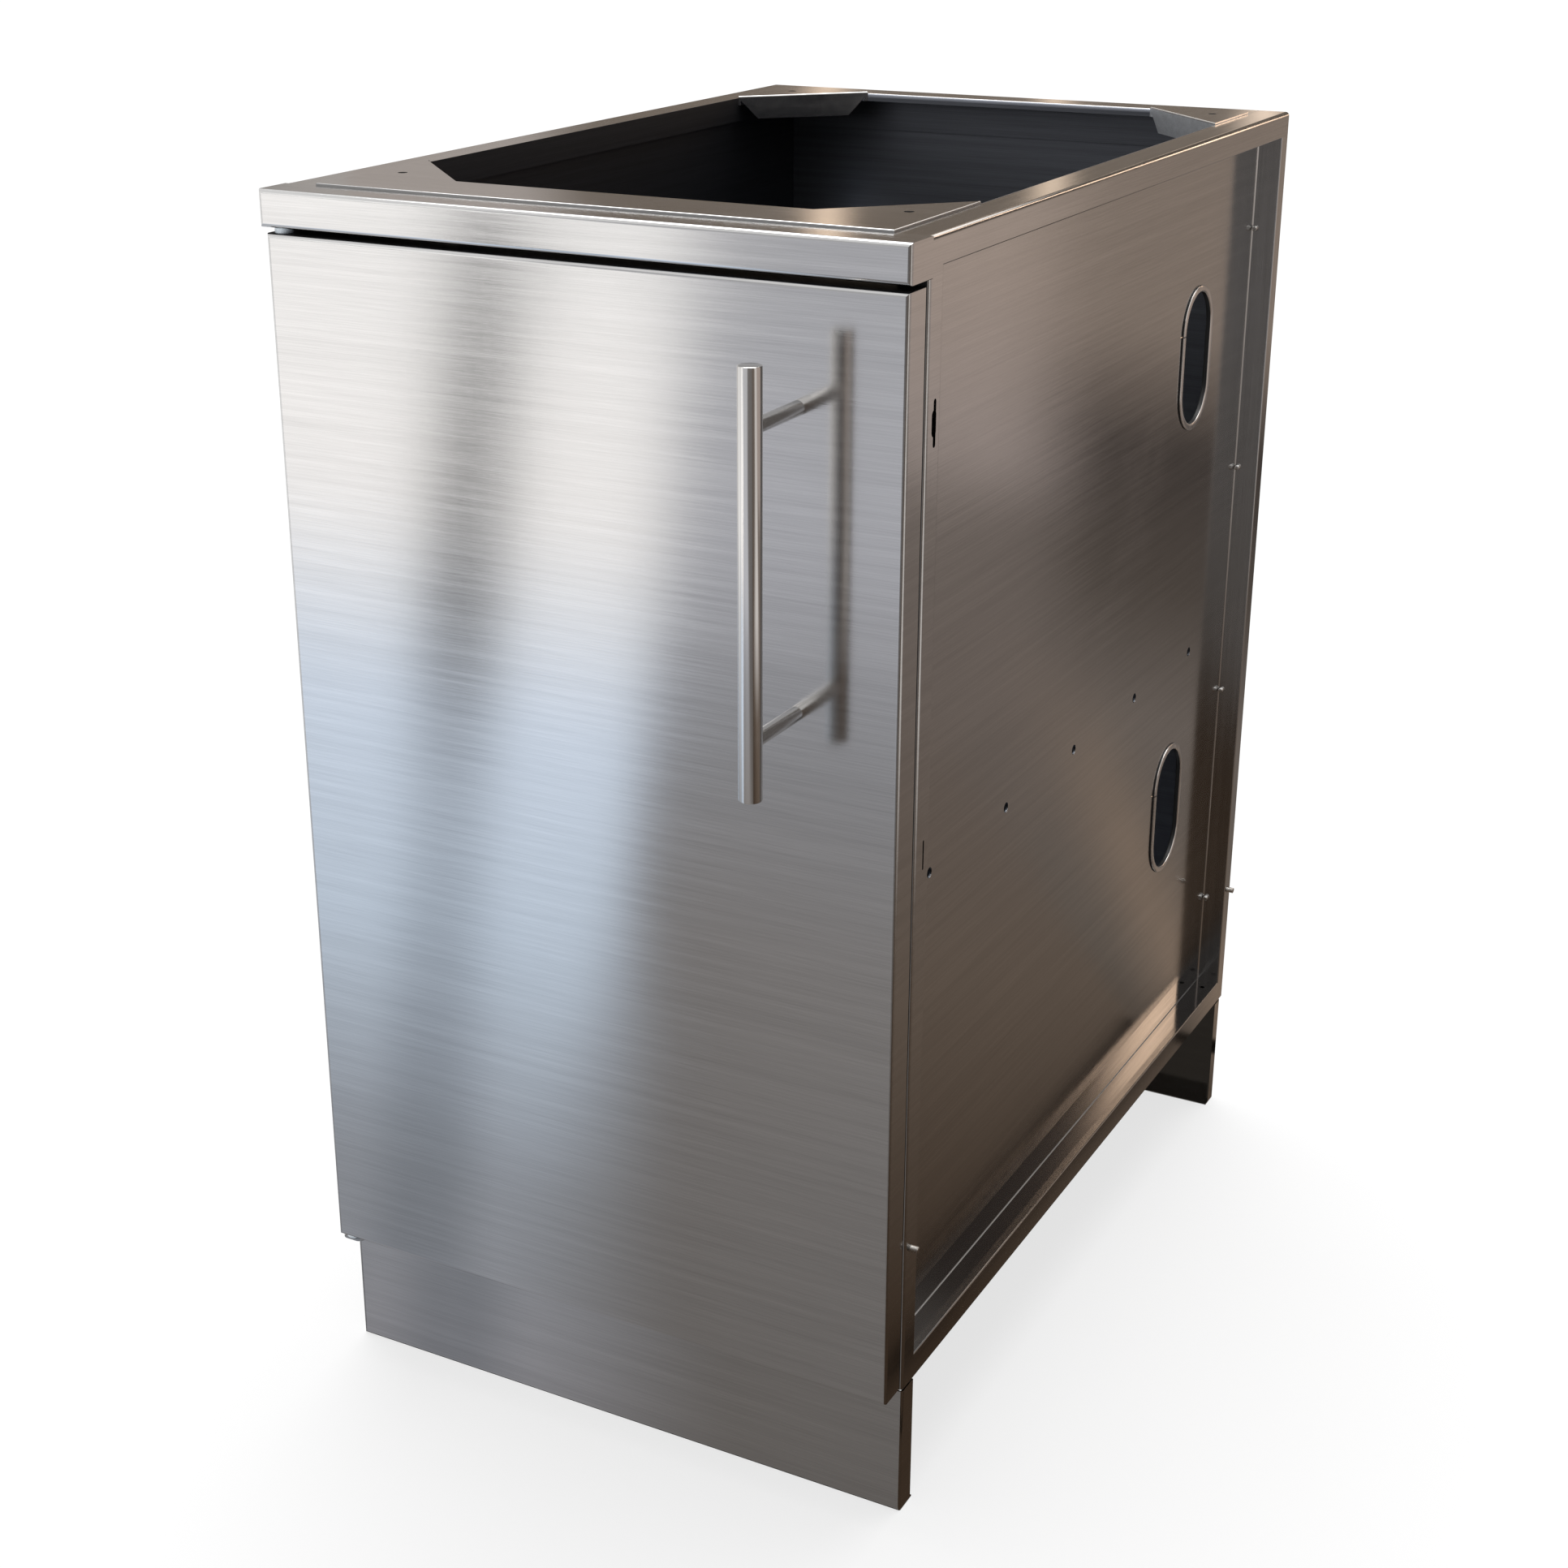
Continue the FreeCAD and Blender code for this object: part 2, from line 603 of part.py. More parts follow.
def hinge_bracket_screws():
    seats = [Vector(HINGE_X, y, BASE - BRACKET) for y in BRACKET_SCREW_Y]
    return Part.Compound([screw(seat, Z, BRACKET_SCREW, SCREW_R, SCREW_HEAD, SCREW_RIM) for seat in seats])


# Handle
def handle_bar():
    bar = rod(Vector(HANDLE_X, -HANDLE_OUT, HANDLE_Z - BAR_LENGTH / 2), Z, BAR_LENGTH, BAR_R)
    rims = [edge for edge in bar.Edges if len(edge.Vertexes) == 1]
    return bar.makeChamfer(BAR_CHAMFER, rims)


def handle_posts():
    bar = rod(Vector(HANDLE_X, -HANDLE_OUT, 0), Z, HEIGHT, BAR_R)
    posts = []
    for z in POST_Z:
        post = rod(Vector(HANDLE_X, -HANDLE_OUT, z), Y, HANDLE_OUT, POST_R)
        thread = rod(Vector(HANDLE_X, 0, z), -Y, POST_THREAD, POST_HOLE_R)
        posts.append(post.cut([bar, thread]))
    return Part.Compound(posts)


def handle_spacers():
    radius = POST_HOLE_R + SPACER_WALL
    tubes = [rod(Vector(HANDLE_X, SKIN, z), Y, LINER_FRONT - SKIN, radius) for z in POST_Z]
    return Part.Compound([spacer.cut(post_holes()) for spacer in tubes])


def handle_screws():
    length = LINER_BACK + POST_THREAD - POST_SCREW_SHORT
    seats = [Vector(HANDLE_X, LINER_BACK, z) for z in POST_Z]
    return Part.Compound([
        screw(seat, -Y, length, POST_SCREW_R, POST_SCREW_HEAD, POST_SCREW_RIM) for seat in seats
    ])


# Magnetic catch, strike and bumpers
def catch_magnet():
    x = grow((CATCH_X, CATCH_X), MAGNET_W / 2)
    return box(x, (CATCH_FRONT, CATCH_FRONT + MAGNET_DEPTH), grow((CATCH_Z, CATCH_Z), MAGNET_H / 2))


def catch_body():
    y = (CATCH_FRONT, CATCH_FRONT + CATCH_DEPTH)
    body = box((CATCH_IN, PANEL_IN), y, grow((CATCH_Z, CATCH_Z), CATCH_H / 2))
    return body.cut([catch_magnet()] + catch_screw_holes())


def catch_screws():
    length = PANEL_OUT - CATCH_IN
    seats = [Vector(CATCH_IN, CATCH_SCREW_Y, z) for z in CATCH_SCREW_Z]
    return Part.Compound([
        screw(seat, X, length, SMALL_SCREW_R, SMALL_SCREW_HEAD, SMALL_SCREW_RIM) for seat in seats
    ])


def strike_plate():
    x = grow((CATCH_X, CATCH_X), STRIKE_W / 2)
    z = grow((CATCH_Z, CATCH_Z), STRIKE_H / 2)
    return box(x, (LINER_BACK, LINER_BACK + STRIKE), z).cut(rivet_holes())


def strike_rivets():
    """Rivets flush with the strike, with their heads inside the door."""
    seats = [Vector(CATCH_X, LINER_FRONT, z) for z in RIVET_Z]
    return Part.Compound([
        screw(seat, Y, SKIN + STRIKE, SMALL_SCREW_R, SMALL_SCREW_HEAD, SMALL_SCREW_RIM) for seat in seats
    ])


def door_bumpers():
    length = FACE - BUMPER_GAP - DOOR_DEPTH
    return Part.Compound([rod(Vector(BUMPER_X, DOOR_DEPTH, z), Y, length, BUMPER_R) for z in BUMPER_Z])


# Fasteners of the carcass
def back_panel_screws():
    return Part.Compound([
        screw(Vector(x, DEPTH, z), -Y, length, SCREW_R, SCREW_HEAD, SCREW_RIM)
        for x, z, length in back_screw_places()
    ])


def joining_bolts():
    """Bolts that stand out of the right side to fix the next cabinet, with hexagon heads inside."""
    shank_x = HALF + BOLT_SHANK_OUT
    tip_x = HALF + BOLT_OUT
    turns = [FreeCAD.Rotation(X, step * 360 / HEAD_SIDES) for step in range(HEAD_SIDES + 1)]
    corners = [turn.multVec(Z * BOLT_HEAD_R) for turn in turns]
    bolts = []
    for y in BOLT_Y:
        seat = Vector(PANEL_IN, y, BOLT_Z)
        shank = rod(seat, X, shank_x - PANEL_IN, BOLT_R)
        thread = rod(Vector(shank_x, y, BOLT_Z), X, tip_x - shank_x, BOLT_R - BOLT_THREAD_CUT)
        tip = [edge for edge in thread.Edges if all(near(end.X, tip_x) for end in edge.Vertexes)]
        head = Part.Face(Part.makePolygon([seat + corner for corner in corners])).extrude(X * -BOLT_HEAD)
        bolts.append(fuse([thread.makeChamfer(BOLT_TIP, tip), shank, head]))
    return Part.Compound(bolts)


# Nodes made once for each side, and nodes made once
SIDE_NODES = [front_stile, rear_stile, top_rail, bottom_rail, side_panel, pass_trims, rear_gusset]
NODES = [
    front_rail, rear_rail, front_stretcher, floor_panel, back_panel, toe_kick, rear_kick,
    back_panel_screws, joining_bolts, catch_body, catch_magnet, catch_screws,
    hinge_pin_top, hinge_pin_bottom, hinge_bracket, hinge_bracket_screws, hinge_blocks, hinge_bushes,
    door_skin, door_liner, door_bumpers, strike_plate, strike_rivets,
    handle_bar, handle_posts, handle_spacers, handle_screws,
]


def write(name, shape):
    placed = shape.copy()
    placed.translate(MIDDLE * -1)
    placed.exportStep("parts/" + name + ".step")


def main():
    os.makedirs("parts", exist_ok=True)
    for make in SIDE_NODES:
        right = make()
        write("right_" + make.__name__, right)
        write("left_" + make.__name__, right.mirror(Vector(0, 0, 0), X))
    for make in NODES:
        write(make.__name__, make())


main()
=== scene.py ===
import contextlib
import math

import bmesh
import bpy
from bpy.props import FloatProperty, FloatVectorProperty, IntProperty, PointerProperty
from mathutils import Matrix, Vector


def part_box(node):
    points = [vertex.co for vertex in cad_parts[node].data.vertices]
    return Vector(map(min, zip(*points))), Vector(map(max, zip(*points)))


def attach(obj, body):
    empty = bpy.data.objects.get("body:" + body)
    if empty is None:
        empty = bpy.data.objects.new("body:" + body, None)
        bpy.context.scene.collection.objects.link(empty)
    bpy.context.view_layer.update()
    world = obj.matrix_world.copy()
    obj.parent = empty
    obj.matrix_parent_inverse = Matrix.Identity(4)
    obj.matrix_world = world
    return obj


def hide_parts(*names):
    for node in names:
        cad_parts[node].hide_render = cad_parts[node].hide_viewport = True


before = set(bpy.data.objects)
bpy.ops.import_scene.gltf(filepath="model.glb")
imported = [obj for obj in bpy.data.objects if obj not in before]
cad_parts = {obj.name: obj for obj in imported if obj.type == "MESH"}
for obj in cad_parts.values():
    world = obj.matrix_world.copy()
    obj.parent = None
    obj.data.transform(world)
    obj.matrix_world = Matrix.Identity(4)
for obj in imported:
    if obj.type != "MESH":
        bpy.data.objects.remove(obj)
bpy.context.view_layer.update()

bl_info = {
    "name": "Single door cabinet",
    "version": (1, 0, 0),
    "blender": (4, 5, 0),
    "location": "View3D > Sidebar > Cabinet",
    "description": "Finishes, fittings and studio of a brushed steel cabinet with one door",
    "category": "Object",
}

TOUCH = 1e-6
SIDES = (("right", 1), ("left", -1))

# The photograph's frame in pixels, and the camera's sensor in millimetres
IMAGE_SIZE = 1932
FOCAL_PIXELS = 3036.4
AXIS_PIXEL = (907.2, 974.5)
SENSOR_WIDTH = 36.0

# How deep the other finish of a hidden face reaches into a sheet, a side panel with its holes and a corner
# plate; on most faces that finish is painted shade
FACE_DEPTH = 0.0003
PANEL_DEPTH = 0.00115
PLATE_DEPTH = 0.0012

# The joint of a bottom rail and its side panel, and the smooth strip of the panel above the rail
SEAM_WIDTH = 0.0006
FOOT_STRIP = 0.022

# Sheets with one finish all over: material, grain and nodes
PLAIN_SHEETS = (
    ("brushed_across", "X", ("door_liner", "toe_kick", "rear_kick")),
    ("brushed_deep", "Y", ("left_rear_gusset",)),
    ("brushed_upright", "Z", ("right_rear_stile", "left_rear_stile")),
)

# Thread radius and head height of the screws, and the radius of the joining bolts
SHEET_SCREW = (0.002, 0.0018)
CATCH_SCREW = (0.0015, 0.0015)
HANDLE_SCREW = (0.0025, 0.0022)
BOLT_RADIUS = 0.0025

# Shapes of screws and bolts, as shares of their radius and height
HEAD_DOME = 0.72
RECESS_SPAN = 1.05
RECESS_DEPTH = 1.3
RECESS_TAPER = (0.55, 0.75, 1)
THREAD_TIP = (0.8, 0.8, 1)
BOLT_HEAD_EDGE = 0.12
SHANK_EDGE = 0.08
BOLT_THREAD = 0.96

# Sides of small round pieces, and steps of a turn of thread and a half turn of trim
HEAD_SIDES = 32
SHANK_SIDES = 40
BUMPER_SIDES = 48
THREAD_STEPS = 20
TRIM_STEPS = 28

# Shape of a bumper, as shares of its height, its radius and the soft edge
BUMPER_ROUND = 0.7
BUMPER_DIMPLE = 0.3
DIMPLE_DEPTH = 0.2

# The part of a noise's range that holds most of its values
MOST = (0.3, 0.7)

# Scales of the fine smudges, the slow drift of colour and the mottle, as shares of their pattern's scale
FINE_SMUDGE = 7.0
SLOW_DRIFT = 0.06
FINE_MOTTLE = 30

# How squarely a face looks along X where its streaks turn to run along Y
FACING = 0.7

# Least and most dullness of a brushed sheet, and how far it spreads its shine across the grain
SHEET_DULL = (0.1, 0.15)
SHEET_SPREAD = 0.4

# Length and width of the lines on drawn and turned steel, and the depths of fine surfaces
LINE_LENGTH = 0.25
BAR_LINE = 0.0007
POST_LINE = 0.00025
LINE_DEPTH = 0.000006
MOTTLE_DEPTH = 0.00001
SKIN_DEPTH = 0.00002


# Settings that a user would change
def colour_setting(name, text, *default):
    return FloatVectorProperty(name=name, description=text, subtype="COLOR", default=default, min=0, max=1)


def length_setting(name, text, default, low=0.0):
    return FloatProperty(name=name, description=text, unit="LENGTH", default=default, min=low, precision=6)


def angle_setting(name, text, degrees):
    return FloatProperty(name=name, description=text, subtype="ANGLE", default=math.radians(degrees))


class CabinetSteelSettings(bpy.types.PropertyGroup):
    """Colours and brushing of the steel pieces."""

    sheet_colour: colour_setting("Sheet colour", "Reflected colour of the brushed sheet", 0.6, 0.595, 0.59)
    # Painted shade: dark colour given to the sheets' faces inside the cabinet
    inside_shade_colour: colour_setting(
        "Inside colour", "Dark unpolished face of the sheets inside the cabinet", 0.16, 0.168, 0.19)
    mill_colour: colour_setting(
        "Mill colour", "Reflected colour of the unbrushed folds under the top plates", 0.6, 0.62, 0.65)
    # Painted shade: near-black colour given to the faces deep in the gaps round the door
    gap_shade_colour: colour_setting(
        "Gap colour", "Unpolished faces deep in the gaps round the door", 0.012, 0.012, 0.013)
    handle_colour: colour_setting(
        "Handle colour", "Reflected colour of the drawn handle bar", 0.7, 0.685, 0.67)
    fastener_colour: colour_setting(
        "Fastener colour", "Reflected colour of screws, bolts and pins", 0.66, 0.65, 0.63)
    hinge_colour: colour_setting(
        "Hinge colour", "Reflected colour of the plain hinge and strike steel", 0.5, 0.5, 0.5)
    magnet_colour: colour_setting("Magnet colour", "Reflected colour of the ground magnet", 0.2, 0.2, 0.21)
    streak_length: length_setting("Streak length", "Length of one brushed streak", 0.06, 0.001)
    streak_width: length_setting("Streak width", "Width of one brushed streak", 0.0006, 0.0001)
    streak_depth: length_setting("Streak depth", "Depth of the brushed streaks", 0.000009)


class CabinetPlasticSettings(bpy.types.PropertyGroup):
    """Colours of the moulded and extruded pieces."""

    trim_colour: colour_setting(
        "Trim colour", "Bright lip of the edge trim round the pass-throughs", 0.6, 0.56, 0.53)
    # Painted shade: black given to the trim's web inside the pass-throughs
    web_shade_colour: colour_setting(
        "Core colour", "Black core of the edge trim inside the pass-throughs", 0.01, 0.01, 0.01)
    bush_colour: colour_setting("Bush colour", "Nylon of the hinge bushes", 0.6, 0.68, 0.76)
    catch_colour: colour_setting("Catch colour", "Moulded housing of the door catch", 0.035, 0.035, 0.037)
    rubber_colour: colour_setting("Rubber colour", "Rubber of the door bumpers", 0.028, 0.027, 0.026)


class CabinetFittingSettings(bpy.types.PropertyGroup):
    """Sizes of the turned, threaded and extruded fittings."""

    round_sides: IntProperty(name="Round sides", description="Sides of a turned piece", default=96, min=12)
    bar_chamfer: length_setting("Bar chamfer", "Chamfer at the ends of the handle bar", 0.0009)
    post_edge: length_setting("Post edge", "Broken edge where a handle post meets the door", 0.0004)
    thread_pitch: length_setting("Thread pitch", "Rise of a screw thread in one turn", 0.0008, 0.0002)
    thread_depth: length_setting("Thread depth", "Height of a screw thread above its root", 0.00035, 0.0001)
    recess_width: length_setting("Recess width", "Width of one arm of a cross recess", 0.0009, 0.0001)
    lip: length_setting(
        "Trim lip", "Depth of the slot that holds the panel edge in the trim", 0.0035, 0.0005)
    lip_depth: length_setting("Lip depth", "How deep the bright lip of the trim is", 0.0009, 0.0002)
    web: length_setting("Trim web", "Thickness of the trim inside the pass-through", 0.0015, 0.0002)
    trim_gap: length_setting("Trim gap", "Open joint between the two ends of a trim", 0.0008)
    soft_edge: length_setting("Soft edge", "Rounding of moulded edges", 0.0012)


class CabinetStageSettings(bpy.types.PropertyGroup):
    """Camera, floor, lamps and the cove that the steel reflects."""

    camera_place: FloatVectorProperty(
        name="Camera place", description="Place of the camera", subtype="TRANSLATION", unit="LENGTH",
        default=(0.80015, -1.57045, 1.0969))
    camera_azimuth: angle_setting(
        "Camera azimuth", "Turn of the view from straight ahead to the right side", 28.746)
    camera_elevation: angle_setting("Camera elevation", "How far the camera looks down", 21.81)
    camera_roll: angle_setting("Camera roll", "Turn of the picture about the view", 0.232)
    floor_size: length_setting("Floor size", "Width of the square floor", 60.0, 1.0)
    floor_colour: colour_setting("Floor colour", "Pale colour of the floor", 0.9, 0.9, 0.9)
    floor_glow: FloatProperty(
        name="Floor glow", description="Share of the floor that stays white in its own shadow",
        subtype="FACTOR", default=0.72, min=0, max=1)
    room_light: FloatProperty(
        name="Room light", description="Even light from all round", default=0.5, min=0)
    lamp_light: FloatProperty(
        name="Lamp light", description="Strength of the soft lamp", default=2.8, min=0)
    lamp_angle: angle_setting("Lamp angle", "Apparent size of the soft lamp", 55)
    cove_reach: length_setting("Cove reach", "How far the cove's apron runs out from the cabinet", 2.0, 0.1)
    cove_rise: length_setting("Cove rise", "How far the apron climbs over its reach", 0.62)
    cove_wall: length_setting("Cove wall", "Height of the walls above the apron", 1.6)


# Mesh tools
def near(value, place):
    return abs(value - place) < TOUCH


def take(piece):
    """Make one object the only selected one and the active one."""
    bpy.ops.object.select_all(action="DESELECT")
    piece.select_set(True)
    bpy.context.view_layer.objects.active = piece


def settle(piece):
    """Apply the piece's place, turn and scale to its mesh."""
    take(piece)
    bpy.ops.object.transform_apply(location=True, rotation=True, scale=True)


def add(name, operator, scale=(1, 1, 1), **options):
    """Add one primitive with nothing else selected, and keep its place in its mesh."""
    bpy.ops.object.select_all(action="DESELECT")
    operator(**options)
    piece = bpy.context.object
    piece.name = name
    piece.scale = scale
    settle(piece)
    return piece


def cylinder(name, sides, radius, depth, location, rotation=(0, 0, 0)):
    return add(name, bpy.ops.mesh.primitive_cylinder_add, vertices=sides, radius=radius, depth=depth,
               location=location, rotation=rotation)


@contextlib.contextmanager
def editing(piece):
    """Edit mode on one piece."""
    take(piece)
    bpy.ops.object.mode_set(mode="EDIT")
    yield
    bpy.ops.object.mode_set(mode="OBJECT")


def pick(kind, chosen):
    """Select what the test chooses among the edit mesh's VERT, EDGE or FACE items, and nothing else."""
    data = bpy.context.object.data
    bpy.ops.mesh.select_mode(type=kind)
    bpy.ops.mesh.select_all(action="DESELECT")
    mesh = bmesh.from_edit_mesh(data)
    items = {"VERT": mesh.verts, "EDGE": mesh.edges, "FACE": mesh.faces}[kind]
    for item in items:
        if chosen(item):
            item.select_set(True)
    mesh.select_flush_mode()
    bmesh.update_edit_mesh(data)


def pick_all():
    bpy.ops.mesh.select_all(action="SELECT")


def level(item, axis, place):
    """Whether all of an edge's or face's corners lie at one place along an axis."""
    return all(near(corner.co[axis], place) for corner in item.verts)


def bevel(width, steps, affect="EDGES"):
    bpy.ops.mesh.bevel(offset=width, segments=steps, profile=0.5, affect=affect)


def soften(piece, axis, places, width, steps):
    """Bevel a piece's edges that lie level at one of the places along an axis."""
    with editing(piece):
        pick("EDGE", lambda edge: any(level(edge, axis, place) for place in places))
        bevel(width, steps)


def draw_out(*way):
    """Extrude the selected edges along a way."""
    bpy.ops.mesh.extrude_edges_move(TRANSFORM_OT_translate={"value": way})


def mend():
    """Merge doubles and turn all faces outwards."""
    pick_all()
    bpy.ops.mesh.remove_doubles(threshold=TOUCH)
    bpy.ops.mesh.normals_make_consistent(inside=False)


def smooth(piece, degrees=32):
    take(piece)
    bpy.ops.object.shade_smooth_by_angle(angle=math.radians(degrees))


def cut_away(piece, cutter):
    """Subtract one shape from a piece and remove it."""
    take(piece)
    boolean = piece.modifiers.new("cut", "BOOLEAN")
    boolean.operation = "DIFFERENCE"
    boolean.solver = "EXACT"
    boolean.object = cutter
    bpy.ops.object.modifier_apply(modifier=boolean.name)
    bpy.data.objects.remove(cutter)


def join(name, pieces):
    """Join pieces into the first one."""
    take(pieces[0])
    for piece in pieces[1:]:
        piece.select_set(True)
    if len(pieces) > 1:
        bpy.ops.object.join()
    pieces[0].name = name
    pieces[0].data.name = name
    return pieces[0]


def copy_to(piece, place, turn):
    """A copy of a piece with its own mesh, turned and set in place."""
    take(piece)
    bpy.ops.object.duplicate(linked=False)
    copy = bpy.context.object
    copy.matrix_world = Matrix.Translation(place) @ turn.to_4x4()
    settle(copy)
    return copy


def solids(node):
    """Lowest and highest corners of each separate solid in a node, in order along X, Y and Z."""
    mesh = bmesh.new()
    mesh.from_mesh(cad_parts[node].data)
    bmesh.ops.remove_doubles(mesh, verts=mesh.verts[:], dist=TOUCH)
    left = set(mesh.verts)
    boxes = []
    while left:
        front = [left.pop()]
        found = []
        while front:
            corner = front.pop()
            found.append(corner.co.copy())
            linked = {edge.other_vert(corner) for edge in corner.link_edges} & left
            left -= linked
            front.extend(linked)
        low = Vector([min(point[axis] for point in found) for axis in range(3)])
        high = Vector([max(point[axis] for point in found) for axis in range(3)])
        boxes.append((low, high))
    mesh.free()
    return sorted(boxes, key=lambda box: [round(value, 5) for value in box[0]])


def finish_piece(piece, body, slot, material, *nodes):
    """Give a piece its material, let it ride on a body and stand for its CAD nodes."""
    piece.data.materials.clear()
    piece.data.materials.append(material)
    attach(piece, body)
    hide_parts(*nodes)


def paint(material, *nodes):
    """Give CAD nodes a material."""
    for node in nodes:
        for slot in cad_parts[node].material_slots:
            slot.material = material


# Node tools
class Graph:
    """Adds and links nodes in one node tree."""

    def __init__(self, tree):
        self.nodes = tree.nodes
        self.links = tree.links

    def put(self, socket, value):
        if isinstance(value, bpy.types.NodeSocket):
            self.links.new(value, socket)
        else:
            socket.default_value = value

    def add(self, kind, **options):
        node = self.nodes.new(kind)
        for name, value in options.items():
            setattr(node, name, value)
        return node

    def fill(self, node, *values):
        """Put values into a node's first sockets and give its first output."""
        for socket, value in zip(node.inputs, values):
            self.put(socket, value)
        return node.outputs[0]

    def maths(self, operation, *values):
        return self.fill(self.add("ShaderNodeMath", operation=operation), *values)

    def spread(self, value, low, high, to_low=0.0, to_high=1.0, soft=False):
        """Map a value from one range to another, clamped."""
        node = self.add("ShaderNodeMapRange", interpolation_type="SMOOTHSTEP" if soft else "LINEAR")
        return self.fill(node, value, low, high, to_low, to_high)

    def blend(self, kind, factor, one, other):
        """Mix two values, vectors or colours."""
        node = self.add("ShaderNodeMix", data_type=kind)
        sort = "VALUE" if kind == "FLOAT" else kind
        first, second = [socket for socket in node.inputs if socket.type == sort][-2:]
        for socket, value in ((node.inputs[0], factor), (first, one), (second, other)):
            self.put(socket, value)
        return [socket for socket in node.outputs if socket.type == sort][0]

    def mix(self, factor, one, other):
        """Mix two colours."""
        return self.blend("RGBA", factor, one, other)

    def noise(self, vector, scale, detail, roughness=0.5):
        node = self.add("ShaderNodeTexNoise")
        given = {"Vector": vector, "Scale": scale, "Detail": detail, "Roughness": roughness}
        for label, value in given.items():
            self.put(node.inputs[label], value)
        return node.outputs[0]

    def ramp(self, value, stops):
        """A colour ramp over 0 to 1 with the given places and colours."""
        node = self.add("ShaderNodeValToRGB")
        elements = node.color_ramp.elements
        while len(elements) < len(stops):
            elements.new(1.0)
        for element, (place, colour) in zip(elements, stops):
            element.position = place
            element.color = (*colour, 1.0)
        return self.fill(node, value)

    def place(self):
        """Object coordinates."""
        return self.add("ShaderNodeTexCoord").outputs["Object"]

    def split(self, vector):
        """The three parts of a vector."""
        node = self.add("ShaderNodeSeparateXYZ")
        self.fill(node, vector)
        return node.outputs

    def stretched(self, scale):
        """Object coordinates scaled along each axis."""
        node = self.add("ShaderNodeMapping")
        node.inputs["Scale"].default_value = scale
        return self.fill(node, self.place())

    def bump(self, height, distance):
        node = self.add("ShaderNodeBump")
        node.inputs["Strength"].default_value = 1.0
        node.inputs["Distance"].default_value = distance
        self.put(node.inputs["Height"], height)
        return node.outputs[0]

    def group(self, tree, **values):
        """Place a node group with its own values and give its outputs."""
        node = self.add("ShaderNodeGroup", node_tree=tree)
        for name, value in values.items():
            self.put(node.inputs[name], value)
        return node.outputs


def bare_graph(block):
    """The emptied node tree of a material or a world."""
    block.use_nodes = True
    graph = Graph(block.node_tree)
    graph.nodes.clear()
    return graph


def shared_group(name, value, default, outputs, build):
    """A node group that takes a vector and one named value and gives out named values, built once."""
    if name in bpy.data.node_groups:
        return bpy.data.node_groups[name]
    tree = bpy.data.node_groups.new(name, "ShaderNodeTree")
    tree.interface.new_socket(name="Vector", in_out="INPUT", socket_type="NodeSocketVector")
    socket = tree.interface.new_socket(name=value, in_out="INPUT", socket_type="NodeSocketFloat")
    socket.default_value = default
    for label in outputs:
        tree.interface.new_socket(name=label, in_out="OUTPUT", socket_type="NodeSocketFloat")
    graph = Graph(tree)
    given = graph.add("NodeGroupInput").outputs
    result = graph.add("NodeGroupOutput").inputs
    for label, output in zip(outputs, build(graph, given["Vector"], given[value])):
        graph.put(result[label], output)
    return tree


def brushed_group():
    """Long fine streaks for brushed steel: the vector is already stretched along the grain."""
    def build(graph, vector, coarse_share):
        fine = graph.spread(graph.noise(vector, 1.0, 3.0, 0.6), 0.28, 0.72)
        coarse = graph.spread(graph.noise(vector, 0.13, 2.0), *MOST)
        return graph.blend("FLOAT", coarse_share, fine, coarse), fine

    return shared_group("Brushed streaks", "Coarse", 0.4, ("Streak", "Height"), build)


def handling_group():
    """Faint smudges and cloudy patches left by cleaning and handling."""
    def build(graph, vector, scale):
        cloud = graph.noise(vector, scale, 2.0)
        fine = graph.noise(vector, graph.maths("MULTIPLY", scale, FINE_SMUDGE), 4.0, 0.65)
        return graph.maths("MULTIPLY", graph.spread(cloud, 0.45, 0.7, soft=True), fine), cloud

    return shared_group("Handling marks", "Scale", 5.0, ("Smudge", "Cloud"), build)


def moulded_group():
    """Fine spark-eroded texture and slow colour drift of moulded plastic and rubber."""
    def build(graph, vector, scale):
        slow = graph.maths("MULTIPLY", scale, SLOW_DRIFT)
        return graph.noise(vector, scale, 3.0, 0.6), graph.noise(vector, slow, 2.0)

    return shared_group("Moulded skin", "Scale", 900.0, ("Grain", "Drift"), build)


# Materials
def shade(colour, factor):
    """A colour made lighter or darker, as a colour socket takes it."""
    return (*[min(1.0, channel * factor) for channel in colour], 1.0)


def shades(graph, share, colour, dark, light):
    """A colour between a darker and a lighter shade of it."""
    return graph.mix(share, shade(colour, dark), shade(colour, light))


def smudged(graph, marks, amount, dull):
    """Dullness that grows where the surface is smudged."""
    return graph.maths("MULTIPLY_ADD", marks["Smudge"], amount, dull)


def new_material(name):
    material = bpy.data.materials.new(name)
    material.use_nodes = True
    return material, Graph(material.node_tree), material.node_tree.nodes["Principled BSDF"].inputs


def dress(graph, shader, tone, dull, height, depth):
    """Give the shader a colour, a dullness and a bump."""
    graph.put(shader["Base Color"], tone)
    graph.put(shader["Roughness"], dull)
    graph.put(shader["Normal"], graph.bump(height, depth))


def grain_scale(grain, length, width):
    """Stretch of the streak pattern for grain that runs along X, Y or Z."""
    return [1 / length if axis == grain else 1 / width for axis in "XYZ"]


def end_grain(graph, vector, length, width):
    """Turn the streaks to run along Y on the faces that look along X."""
    facing = graph.split(graph.add("ShaderNodeTexCoord").outputs["Normal"])
    turned = graph.maths("GREATER_THAN", graph.maths("ABSOLUTE", facing[0]), FACING)
    return graph.blend("VECTOR", turned, vector, graph.stretched(grain_scale("Y", length, width)))


def beyond(graph, axis, place, side):
    """1 where the surface lies past a place along an axis, on its high or low side."""
    depth = graph.maths("SUBTRACT", graph.split(graph.place())[axis], place)
    return graph.maths("GREATER_THAN", graph.maths("MULTIPLY", depth, side), 0.0)


